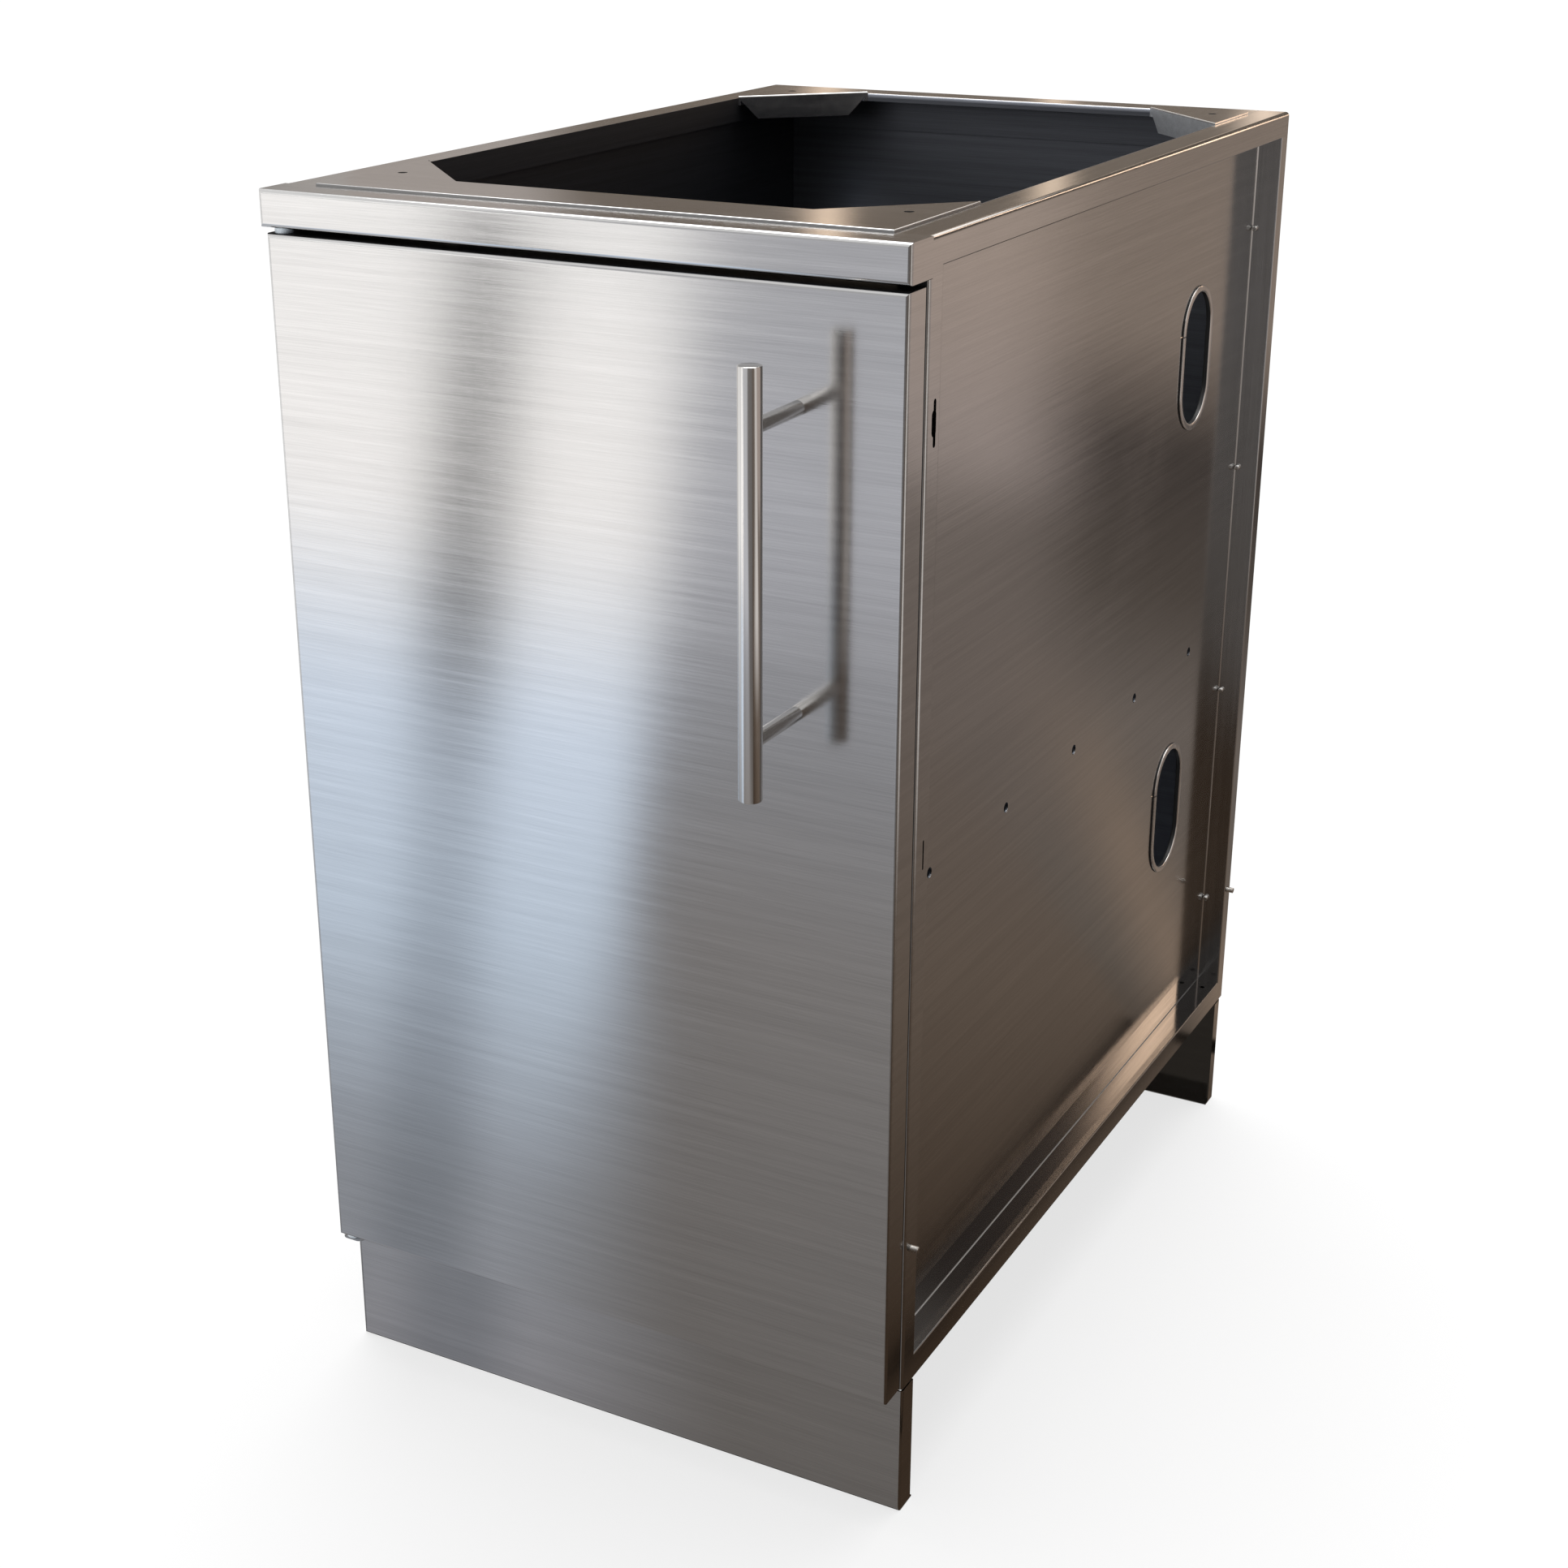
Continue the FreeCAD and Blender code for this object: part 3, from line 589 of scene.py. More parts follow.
def along_grain(graph, shader, grain):
    """Spread the shine across the grain."""
    shader["Anisotropic"].default_value = SHEET_SPREAD
    tangent = graph.add("ShaderNodeTangent", direction_type="RADIAL", axis=grain)
    graph.put(shader["Tangent"], tangent.outputs[0])


def brushed_steel(name, grain, *hidden, combed=True):
    """Brushed sheet. Hidden faces lie past a place along an axis and have their own colour, metal and
    dullness; most are painted shade.
    """
    steel = bpy.context.scene.cabinet_steel
    colour = steel.sheet_colour
    material, graph, shader = new_material(name)
    stretched = graph.stretched(grain_scale(grain, steel.streak_length, steel.streak_width))
    if grain == "X":
        stretched = end_grain(graph, stretched, steel.streak_length, steel.streak_width)
    streaks = graph.group(brushed_group(), Vector=stretched)
    marks = graph.group(handling_group(), Vector=graph.place())
    tone = shades(graph, streaks["Streak"], colour, 0.86, 1.1)
    stained = graph.mix(0.07, tone, shade(colour, 0.5))
    tone = graph.mix(graph.spread(marks["Cloud"], *MOST), tone, stained)
    worn = smudged(graph, marks, 0.08, graph.spread(streaks["Streak"], 0, 1, *SHEET_DULL))
    metal = 1.0
    height = streaks["Height"]
    # Each zone takes its own finish; most zones are painted shade, darker than the sheet
    for axis, place, side, (unseen_colour, unseen_metal, matt) in hidden:
        mask = beyond(graph, axis, place, side)
        unseen = shades(graph, streaks["Streak"], unseen_colour, 0.8, 1.2)
        tone = graph.mix(mask, tone, unseen)
        worn = graph.spread(mask, 0, 1, worn, matt)
        metal = graph.spread(mask, 0, 1, metal, unseen_metal)
        height = graph.spread(mask, 0, 1, height, 0.5)
    graph.put(shader["Metallic"], metal)
    dress(graph, shader, tone, worn, height, steel.streak_depth)
    if combed:
        along_grain(graph, shader, grain)
    return material


def drawn_steel(name, colour, grain, dull, line):
    """Bright drawn or turned steel with fine lines along its length."""
    material, graph, shader = new_material(name)
    streaks = graph.group(brushed_group(), Vector=graph.stretched(grain_scale(grain, LINE_LENGTH, line)))
    marks = graph.group(handling_group(), Vector=graph.place(), Scale=40.0)
    tone = shades(graph, streaks["Streak"], colour, 0.86, 1.12)
    worn = smudged(graph, marks, 0.12, graph.spread(streaks["Streak"], 0, 1, *dull))
    dress(graph, shader, tone, worn, streaks["Height"], LINE_DEPTH)
    shader["Metallic"].default_value = 1.0
    return material


def plain_steel(name, colour, dull, scale):
    """Cold-formed steel with a mottled surface, for screws, pins, brackets and the magnet."""
    material, graph, shader = new_material(name)
    marks = graph.group(handling_group(), Vector=graph.place(), Scale=scale)
    skin = graph.group(moulded_group(), Vector=graph.place(), Scale=scale * FINE_MOTTLE)
    tone = shades(graph, marks["Cloud"], colour, 0.75, 1.2)
    worn = smudged(graph, marks, 0.2, graph.spread(skin["Grain"], *MOST, *dull))
    dress(graph, shader, tone, worn, skin["Grain"], MOTTLE_DEPTH)
    shader["Metallic"].default_value = 1.0
    return material


def moulded(name, colour, dull, sheen=0.0):
    """Moulded plastic or rubber with a fine texture."""
    material, graph, shader = new_material(name)
    skin = graph.group(moulded_group(), Vector=graph.place())
    marks = graph.group(handling_group(), Vector=graph.place(), Scale=30.0)
    tone = shades(graph, graph.spread(skin["Drift"], *MOST), colour, 0.8, 1.2)
    tone = graph.mix(marks["Smudge"], tone, shade(colour, 1.6))
    dress(graph, shader, tone, graph.spread(skin["Grain"], *MOST, *dull), skin["Grain"], SKIN_DEPTH)
    shader["Sheen Weight"].default_value = sheen
    return material


def extruded(name, colour, web_shade_colour, shaded_web):
    """Bright metallised trim with faint lines from its extrusion; past a place in X its web is painted
    black as shade.
    """
    material, graph, shader = new_material(name)
    skin = graph.group(moulded_group(), Vector=graph.stretched((2.0, 1.0, 0.2)), Scale=1200.0)
    tone = shades(graph, graph.spread(skin["Drift"], *MOST), colour, 0.85, 1.2)
    mask = beyond(graph, 0, *shaded_web)
    tone = graph.mix(mask, tone, (*web_shade_colour, 1.0))
    worn = graph.spread(mask, 0, 1, graph.spread(skin["Grain"], *MOST, 0.12, 0.2), 0.5)
    dress(graph, shader, tone, worn, skin["Grain"], LINE_DEPTH)
    graph.put(shader["Metallic"], graph.spread(mask, 0, 1, 0.9, 0.0))
    return material


def fastener_steel(name, dull, scale):
    return plain_steel(name, bpy.context.scene.cabinet_steel.fastener_colour, dull, scale)


# Fittings
def threaded_rod(radius, length):
    """A closed threaded rod along Z from 0 to its length, with a helical thread."""
    fittings = bpy.context.scene.cabinet_fittings
    pitch = fittings.thread_pitch
    root = radius - fittings.thread_depth
    rod = add("thread", bpy.ops.mesh.primitive_plane_add, size=pitch, rotation=(math.pi / 2, 0, 0),
              location=(root - pitch / 2, 0, -pitch / 2))
    with editing(rod):
        pick("VERT", lambda corner: not near(corner.co.x, root))
        bpy.ops.mesh.delete(type="VERT")
        pick_all()
        bpy.ops.mesh.subdivide(number_cuts=1)
        pick("VERT", lambda corner: near(corner.co.z, -pitch / 2))
        bpy.ops.transform.translate(value=(fittings.thread_depth, 0, 0))
    helix = rod.modifiers.new("helix", "SCREW")
    helix.axis = "Z"
    helix.screw_offset = pitch
    helix.iterations = math.ceil(length / pitch) + 2
    helix.steps = THREAD_STEPS
    helix.render_steps = THREAD_STEPS
    bpy.ops.object.modifier_apply(modifier=helix.name)
    with editing(rod):
        mend()
        for height, keep_above in ((0.0, True), (length, False)):
            pick_all()
            bpy.ops.mesh.bisect(
                plane_co=(0, 0, height), plane_no=(0, 0, 1), use_fill=True, threshold=TOUCH,
                clear_inner=keep_above, clear_outer=not keep_above)
        pick("FACE", lambda face: level(face, 2, length))
        bpy.ops.transform.resize(value=THREAD_TIP)
        mend()
    return rod


def round_head(radius, height):
    """A domed head along Z that stands from 0 down to minus its height, with a cross recess."""
    arm = bpy.context.scene.cabinet_fittings.recess_width
    head = cylinder("head", HEAD_SIDES, radius, height, (0, 0, -height / 2))
    soften(head, 2, [-height], height * HEAD_DOME, 5)
    for turn in (0, math.pi / 2):
        cutter = add("recess", bpy.ops.mesh.primitive_cube_add, size=1, location=(0, 0, -height),
                     scale=(radius * RECESS_SPAN, arm, height * RECESS_DEPTH))
        with editing(cutter):
            pick("FACE", lambda face: face.normal.z > 0.5)
            bpy.ops.transform.resize(value=RECESS_TAPER)
        cutter.rotation_euler.z = turn
        settle(cutter)
        cut_away(head, cutter)
    smooth(head)
    return head


def pan_screw(radius, length, head_radius, head_height):
    """A round-headed screw along Z: its head stands behind 0 and its thread runs to its length."""
    thread = threaded_rod(radius, length)
    smooth(thread, 50)
    return join("screw", [round_head(head_radius, head_height), thread])


def turn_to(axis):
    """Turn from Z to an axis."""
    return Vector((0, 0, 1)).rotation_difference(Vector(axis)).to_matrix()


def replace_screws(node, axis, size, body, material):
    """Stand detailed screws where a node has plain ones. The axis points from the head to the tip."""
    radius, head_height = size
    direction = Vector(axis)
    number = [abs(round(part)) for part in axis].index(1)
    across = (number + 1) % 3
    forms = {}
    copies = []
    for low, high in solids(node):
        middle = (low + high) / 2
        whole = high[number] - low[number]
        length = round(whole - head_height, 6)
        if length not in forms:
            head_radius = (high[across] - low[across]) / 2
            forms[length] = pan_screw(radius, length, head_radius, head_height)
        seat = middle - direction * (whole / 2 - head_height)
        copies.append(copy_to(forms[length], seat, turn_to(axis)))
    for form in forms.values():
        bpy.data.objects.remove(form)
    piece = join(node + "_cut", copies)
    finish_piece(piece, body, "fastener_steel", material, node)


class CABINET_OT_brushed_sheets(bpy.types.Operator):
    """Brush every sheet of the frame, door, panels and kicks"""

    bl_idname = "cabinet.brushed_sheets"
    bl_label = "Brush the sheets"

    def execute(self, context):
        steel = context.scene.cabinet_steel
        colour = steel.sheet_colour
        # Painted shade: faces inside the cabinet take the inside colour, and the more shaded inner faces a
        # darker copy of it
        inside = (steel.inside_shade_colour, 1.0, 0.42)
        shadow = (shade(steel.inside_shade_colour, 0.4)[:3], 1.0, 0.42)
        # Painted shade: the front stretcher's fold under its top is darkened
        edge = (shade(colour, 0.45)[:3], 1.0, 0.4)
        mill = (steel.mill_colour, 1.0, 0.45)
        # Painted shade on the faces deep in the gaps round the door
        gap = (steel.gap_shade_colour, 0.5, 0.5)
        shaded_faces = [
            ("right_top_rail", "Y", 0, -1, inside), ("left_top_rail", "Y", 0, 1, shadow),
            ("back_panel", "X", 1, -1, inside), ("floor_panel", "X", 2, 1, inside),
            ("right_front_stile", "Y", 1, -1, gap), ("left_front_stile", "Y", 1, -1, gap),
            ("front_rail", "X", 2, -1, gap), ("door_skin", "X", 2, 1, gap),
        ]
        plates = [
            ("rear_rail", "X", FACE_DEPTH, inside), ("front_stretcher", "X", FACE_DEPTH, edge),
            ("right_rear_gusset", "Y", PLATE_DEPTH, mill),
        ]
        for name, grain, nodes in PLAIN_SHEETS:
            paint(brushed_steel(name, grain), *nodes)
        for node, grain, axis, side, finish in shaded_faces:
            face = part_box(node)[1 if side > 0 else 0][axis]
            self.brush(node, grain, (axis, face - side * FACE_DEPTH, side, finish))
        for node, grain, depth, finish in plates:
            self.brush(node, grain, (2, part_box(node)[1].z - depth, -1, finish), combed=False)
        for side, outward in SIDES:
            self.brush_side(colour, shadow, side, outward)
        return {"FINISHED"}

    def brush_side(self, colour, shadow, side, outward):
        """Brush a side panel and the rail at its foot, which is painted dark on top as shade and pale along
        their joint, with painted shadow on the panel's inner face.
        """
        # Painted shade: the rail's top is darkened
        ledge_shade = (shade(colour, 0.36)[:3], 1.0, 0.08)
        seam = (shade(colour, 0.55)[:3], 1.0, 0.5)
        smooth_foot = (colour, 1.0, 0.08)
        rail, panel = side + "_bottom_rail", side + "_side_panel"
        inner = 0 if outward > 0 else 1
        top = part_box(rail)[1].z
        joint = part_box(rail)[inner].x + outward * SEAM_WIDTH
        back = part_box(panel)[inner].x + outward * PANEL_DEPTH
        self.brush(rail, "Y", (2, top - FACE_DEPTH, 1, ledge_shade), (0, joint, -outward, seam))
        self.brush(panel, "Y", (2, top + FOOT_STRIP, -1, smooth_foot), (0, back, -outward, shadow))

    def brush(self, node, grain, *hidden, combed=True):
        """Brush one sheet and leave its hidden faces in another finish, mostly painted shade."""
        paint(brushed_steel("brushed_" + node, grain, *hidden, combed=combed), node)


class CABINET_OT_hinge_parts(bpy.types.Operator):
    """Finish the pivot hinges, the strike and the hidden spacers"""

    bl_idname = "cabinet.hinge_parts"
    bl_label = "Finish the hinges"

    def execute(self, context):
        colour = context.scene.cabinet_steel.hinge_colour
        plain = plain_steel("plain_hinge_steel", colour, (0.3, 0.42), 60.0)
        pins = fastener_steel("bright_pin_steel", (0.18, 0.26), 90.0)
        nylon = moulded("nylon_bush", context.scene.cabinet_plastic.bush_colour, (0.35, 0.5))
        paint(plain, "hinge_bracket", "hinge_blocks", "strike_plate", "handle_spacers")
        paint(pins, "hinge_pin_top", "hinge_pin_bottom", "strike_rivets")
        paint(nylon, "hinge_bushes")
        return {"FINISHED"}


class CABINET_OT_handle(bpy.types.Operator):
    """Turn the handle bar and its two posts"""

    bl_idname = "cabinet.handle"
    bl_label = "Turn the handle"

    def execute(self, context):
        colour = context.scene.cabinet_steel.handle_colour
        bar = self.turn_bar(context.scene.cabinet_fittings)
        drawn = drawn_steel("drawn_bar", colour, "Z", (0.09, 0.17), BAR_LINE)
        finish_piece(bar, "door", "handle_steel", drawn, "handle_bar")
        posts = self.turn_posts(context.scene.cabinet_fittings)
        turned = drawn_steel("turned_post", colour, "Y", (0.15, 0.2), POST_LINE)
        finish_piece(posts, "door", "handle_steel", turned, "handle_posts")
        return {"FINISHED"}

    def turn_bar(self, fittings):
        low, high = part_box("handle_bar")
        bar = cylinder("handle_bar_drawn", fittings.round_sides, (high.y - low.y) / 2, high.z - low.z,
                       (low + high) / 2)
        soften(bar, 2, [low.z, high.z], fittings.bar_chamfer, 2)
        smooth(bar)
        return bar

    def turn_posts(self, fittings):
        """Two round posts that fit round the bar."""
        sides = fittings.round_sides
        bar_low, bar_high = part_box("handle_bar")
        axis = (bar_low + bar_high) / 2
        posts = []
        for low, high in solids("handle_posts"):
            middle = (low + high) / 2
            length = high.y - axis.y
            post = cylinder("post", sides, (high.x - low.x) / 2, length,
                            (middle.x, high.y - length / 2, middle.z), (math.pi / 2, 0, 0))
            soften(post, 1, [high.y], fittings.post_edge, 2)
            saddle = cylinder("saddle", sides, (bar_high.x - bar_low.x) / 2, length,
                              (axis.x, axis.y, middle.z))
            cut_away(post, saddle)
            smooth(post)
            posts.append(post)
        return join("handle_posts_turned", posts)


class CABINET_OT_edge_trims(bpy.types.Operator):
    """Extrude the edge trims of the four pass-throughs"""

    bl_idname = "cabinet.edge_trims"
    bl_label = "Extrude the edge trims"

    def execute(self, context):
        plastic = context.scene.cabinet_plastic
        fittings = context.scene.cabinet_fittings
        for side, outward in SIDES:
            node = side + "_pass_trims"
            sheet = [corner.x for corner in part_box(side + "_side_panel")]
            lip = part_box(node)[1 if outward > 0 else 0].x
            # Past this place the trim is painted black as shade
            shaded_web = (lip - outward * fittings.lip_depth, -outward)
            material = extruded("extruded_" + node, plastic.trim_colour, plastic.web_shade_colour, shaded_web)
            trims = [self.run_trim(fittings, box, sheet) for box in solids(node)]
            piece = join(node + "_extruded", trims)
            smooth(piece, 40)
            finish_piece(piece, "carcass", "trim_plastic", material, node)
        return {"FINISHED"}

    def run_trim(self, fittings, box, sheet):
        """A rounded channel that runs from its joint over the top, down, round and up again."""
        low, high = box
        middle = (low + high) / 2
        width = fittings.lip + fittings.web
        radius = (high.y - low.y) / 2
        straight = high.z - low.z - 2 * radius
        top = Vector((middle.x, middle.y, middle.z + straight / 2))
        bottom = Vector((middle.x, middle.y, middle.z - straight / 2))
        slot_end = low.y + fittings.lip
        trim = add("trim", bpy.ops.mesh.primitive_plane_add, size=1, scale=(high.x - low.x, width, 1),
                   location=(middle.x, low.y + width / 2, top.z))

        def in_slot(face):
            centre = face.calc_center_median()
            return sheet[0] < centre.x < sheet[1] and centre.y < slot_end

        with editing(trim):
            pick_all()
            bevel(fittings.soft_edge, 4, "VERTICES")
            cuts = [((place, 0, 0), (1, 0, 0)) for place in sheet] + [((0, slot_end, 0), (0, 1, 0))]
            for place, normal in cuts:
                pick_all()
                bpy.ops.mesh.bisect(plane_co=place, plane_no=normal, threshold=TOUCH)
            pick("FACE", in_slot)
            bpy.ops.mesh.delete(type="FACE")
            pick_all()
            bpy.ops.mesh.dissolve_faces()
            bpy.ops.mesh.select_mode(type="EDGE")
            pick_all()
            bpy.ops.mesh.delete(type="ONLY_FACE")
            pick_all()
            for centre, run in ((top, -straight), (bottom, straight - fittings.trim_gap)):
                bpy.ops.mesh.spin(steps=TRIM_STEPS, angle=math.pi, center=centre, axis=(1, 0, 0))
                draw_out(0, 0, run)
            for place in (top.z, top.z - fittings.trim_gap):
                pick("EDGE", lambda edge: len(edge.link_faces) == 1 and level(edge, 2, place))
                bpy.ops.mesh.edge_face_add()
            mend()
        return trim


class CABINET_OT_back_screws(bpy.types.Operator):
    """Cut the screws of the back panel"""

    bl_idname = "cabinet.back_screws"
    bl_label = "Cut the back screws"

    def execute(self, context):
        bright = fastener_steel("bright_screw_steel", (0.2, 0.3), 120.0)
        replace_screws("back_panel_screws", (0, -1, 0), SHEET_SCREW, "carcass", bright)
        return {"FINISHED"}


class CABINET_OT_small_screws(bpy.types.Operator):
    """Cut the screws of the catch, the hinge bracket and the handle"""

    bl_idname = "cabinet.small_screws"
    bl_label = "Cut the small screws"

    def execute(self, context):
        bright = fastener_steel("small_screw_steel", (0.22, 0.34), 150.0)
        replace_screws("catch_screws", (1, 0, 0), CATCH_SCREW, "carcass", bright)
        replace_screws("hinge_bracket_screws", (0, 0, 1), SHEET_SCREW, "carcass", bright)
        replace_screws("handle_screws", (0, -1, 0), HANDLE_SCREW, "door", bright)
        return {"FINISHED"}


class CABINET_OT_joining_bolts(bpy.types.Operator):
    """Cut the two bolts that stand out of the right side"""

    bl_idname = "cabinet.joining_bolts"
    bl_label = "Cut the joining bolts"

    def execute(self, context):
        boxes = solids("joining_bolts")
        side_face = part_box("right_front_stile")[1].x
        head_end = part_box("right_side_panel")[0].x
        low, high = boxes[0]
        corner = (high.z - low.z) / 2
        form = self.cut_bolt(head_end - low.x, side_face - head_end, high.x - side_face, corner)
        copies = []
        for low, high in boxes:
            middle = (low + high) / 2
            copies.append(copy_to(form, Vector((head_end, middle.y, middle.z)), turn_to((1, 0, 0))))
        bpy.data.objects.remove(form)
        piece = join("joining_bolts_cut", copies)
        bright = fastener_steel("bolt_steel", (0.16, 0.26), 110.0)
        finish_piece(piece, "carcass", "fastener_steel", bright, "joining_bolts")
        return {"FINISHED"}

    def cut_bolt(self, head, grip, out, corner):
        """A bolt along Z: hexagon head below 0, plain shank through the grip and thread beyond it."""
        hexagon = cylinder("hexagon", 6, corner, head, (0, 0, -head / 2), (0, 0, math.pi / 6))
        soften(hexagon, 2, [-head], head * BOLT_HEAD_EDGE, 2)
        shank = cylinder("shank", SHANK_SIDES, BOLT_RADIUS, grip, (0, 0, grip / 2))
        soften(shank, 2, [grip], BOLT_RADIUS * SHANK_EDGE, 2)
        thread = threaded_rod(BOLT_RADIUS * BOLT_THREAD, out)
        thread.location.z = grip
        settle(thread)
        for part in (hexagon, shank, thread):
            smooth(part, 45)
        return join("bolt", [hexagon, shank, thread])


class CABINET_OT_catch(bpy.types.Operator):
    """Mould the housing of the door catch and grind its magnet"""

    bl_idname = "cabinet.catch"
    bl_label = "Mould the catch"

    def execute(self, context):
        soft_edge = context.scene.cabinet_fittings.soft_edge
        low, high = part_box("catch_body")
        magnet_low, magnet_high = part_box("catch_magnet")
        size = high - low
        magnet = magnet_high - magnet_low
        margin = (size.x - magnet.x) / 2
        body = add("catch_body_moulded", bpy.ops.mesh.primitive_cube_add, size=1, scale=size,
                   location=(low + high) / 2)
        with editing(body):
            pick("EDGE", lambda edge: not level(edge, 0, high.x))
            bevel(soft_edge, 4)
            pick("FACE", lambda face: level(face, 1, low.y))
            bpy.ops.mesh.inset(thickness=margin - soft_edge, depth=0)
            bpy.ops.transform.resize(value=(1, 1, magnet.z / (size.z - 2 * margin)))
            bpy.ops.mesh.extrude_region_move(TRANSFORM_OT_translate={"value": (0, magnet.y, 0)})
            pick_all()
            bpy.ops.mesh.normals_make_consistent(inside=False)
        smooth(body)
        plastic = moulded("moulded_catch", context.scene.cabinet_plastic.catch_colour, (0.35, 0.55))
        finish_piece(body, "carcass", "catch_plastic", plastic, "catch_body")
        colour = context.scene.cabinet_steel.magnet_colour
        paint(plain_steel("ground_magnet", colour, (0.3, 0.45), 80.0), "catch_magnet")
        return {"FINISHED"}


class CABINET_OT_bumpers(bpy.types.Operator):
    """Mould the two rubber bumpers of the door"""

    bl_idname = "cabinet.bumpers"
    bl_label = "Mould the bumpers"

    def execute(self, context):
        soft_edge = context.scene.cabinet_fittings.soft_edge
        colour = context.scene.cabinet_plastic.rubber_colour
        bumpers = []
        for low, high in solids("door_bumpers"):
            height = high.y - low.y
            radius = (high.x - low.x) / 2
            bumper = cylinder("bumper", BUMPER_SIDES, radius, height, (low + high) / 2, (math.pi / 2, 0, 0))
            soften(bumper, 1, [high.y], height * BUMPER_ROUND, 6)
            with editing(bumper):
                pick("FACE", lambda face: level(face, 1, high.y))
                bpy.ops.mesh.inset(thickness=radius * BUMPER_DIMPLE, depth=-soft_edge * DIMPLE_DEPTH)
            smooth(bumper)
            bumpers.append(bumper)
        piece = join("door_bumpers_moulded", bumpers)
        rubber = moulded("moulded_rubber", colour, (0.55, 0.7), sheen=0.2)
        finish_piece(piece, "door", "bumper_rubber", rubber, "door_bumpers")
        return {"FINISHED"}


# Stage
# The lamp's turn, the cove's lift off the floor, runs up its cloths in metres, and two of its colours
LAMP_TURN = (math.radians(-18), math.radians(-9), 0)
COVE_LIFT = 0.0006
COVE_RUN = 3.6
EDGE_SPREAD = 0.6
BAND_FADE = 0.3
ALL_UP = (-1.0, 9.0)
HALF_UP = (0.6, 9.0)
HIGH_UP = (2.2, 9.0)
KERB_COLOUR = (0.006, 0.005, 0.004, 1.0)
UNDER_COLOUR = (0.03, 0.026, 0.022, 1.0)


def seen_by_picture(graph):
    """1 for rays that end in the picture: straight from the camera, mirrored or through glass."""
    path = graph.add("ShaderNodeLightPath").outputs
    seen = graph.maths("MAXIMUM", path["Is Camera Ray"], path["Is Glossy Ray"])
    return graph.maths("MAXIMUM", seen, path["Is Transmission Ray"])


def floor_material(stage):
    """Pale floor that keeps its shadow, with a share of plain white in the picture."""
    material = bpy.data.materials.new("pale_floor")
    graph = bare_graph(material)
    matt = graph.add("ShaderNodeBsdfDiffuse")
    matt.inputs["Color"].default_value = (*stage.floor_colour, 1)
    white = graph.add("ShaderNodeEmission").outputs[0]
    share = graph.maths("MULTIPLY", seen_by_picture(graph), stage.floor_glow)
    both = graph.fill(graph.add("ShaderNodeMixShader"), share, matt.outputs[0], white)
    graph.put(graph.add("ShaderNodeOutputMaterial").inputs["Surface"], both)
    return material


def glowing_cloth(name):
    """A cloth that shines by itself: its material, its graph and the socket of its colour."""
    material = bpy.data.materials.new(name)
    graph = bare_graph(material)
    glow = graph.add("ShaderNodeEmission")
    graph.put(graph.add("ShaderNodeOutputMaterial").inputs["Surface"], glow.outputs[0])
    material.cycles.emission_sampling = "NONE"
    return material, graph, glow.inputs["Color"]


def cove_material(name, outward, start, slope, cloth):
    """A dim and a bright run of colours from the foot up, parted by a soft slanted edge and crossed by
    bands, with a dark kerb by the foot. All places run along the side, in metres."""
    material, graph, result = glowing_cloth(name)
    climb = graph.add("ShaderNodeVectorMath", operation="DOT_PRODUCT")
    graph.fill(climb, graph.place(), (outward.x * (1 - slope), outward.y * (1 - slope), 1))
    run = graph.maths("SUBTRACT", climb.outputs["Value"], start * (1 - slope))
    side = graph.split(graph.place())[1 if abs(outward.x) > 0.5 else 0]

    def beside(offset, slant):
        return graph.maths("SUBTRACT", side, graph.maths("MULTIPLY_ADD", run, slant, offset))

    def strip(distance, half, soft, strength=1.0):
        apart = graph.maths("ABSOLUTE", distance)
        return graph.spread(apart, half + soft, half - soft, 0.0, strength, soft=True)

    climbed = graph.maths("MULTIPLY_ADD", side, cloth.get("tilt", 0.0), run)
    share = graph.maths("DIVIDE", climbed, COVE_RUN)
    offset, slant, foot_soft, soft = cloth["edge"]
    width = graph.spread(run, 0.0, EDGE_SPREAD, foot_soft, soft)
    lit = graph.spread(beside(offset, slant), width, graph.maths("MULTIPLY", width, -1.0), soft=True)
    colour = graph.mix(lit, graph.ramp(share, cloth["dim"]), graph.ramp(share, cloth["bright"]))
    for offset, slant, half, soft, (foot, head), tint, strength in cloth["bands"]:
        above = graph.spread(run, foot, foot + BAND_FADE)
        below = graph.spread(run, head, head - BAND_FADE)
        within = graph.maths("MULTIPLY", above, below)
        mask = graph.maths("MULTIPLY", strip(beside(offset, slant), half, soft, strength), within)
        colour = graph.mix(mask, colour, (*tint, 1.0))
    if "kerb" in cloth:
        middle, half, soft = cloth["kerb"]
        mask = strip(graph.maths("SUBTRACT", run, middle), half, soft)
        colour = graph.mix(mask, colour, KERB_COLOUR)
    graph.put(result, colour)
    return material


def under_material():
    """The dim cloth under the cabinet."""
    material, graph, result = glowing_cloth("cloth_under")
    graph.put(result, UNDER_COLOUR)
    return material


def stops(*pairs):
    """Ramp stops given by their run along the cove."""
    return [(run / COVE_RUN, colour) for run, colour in pairs]


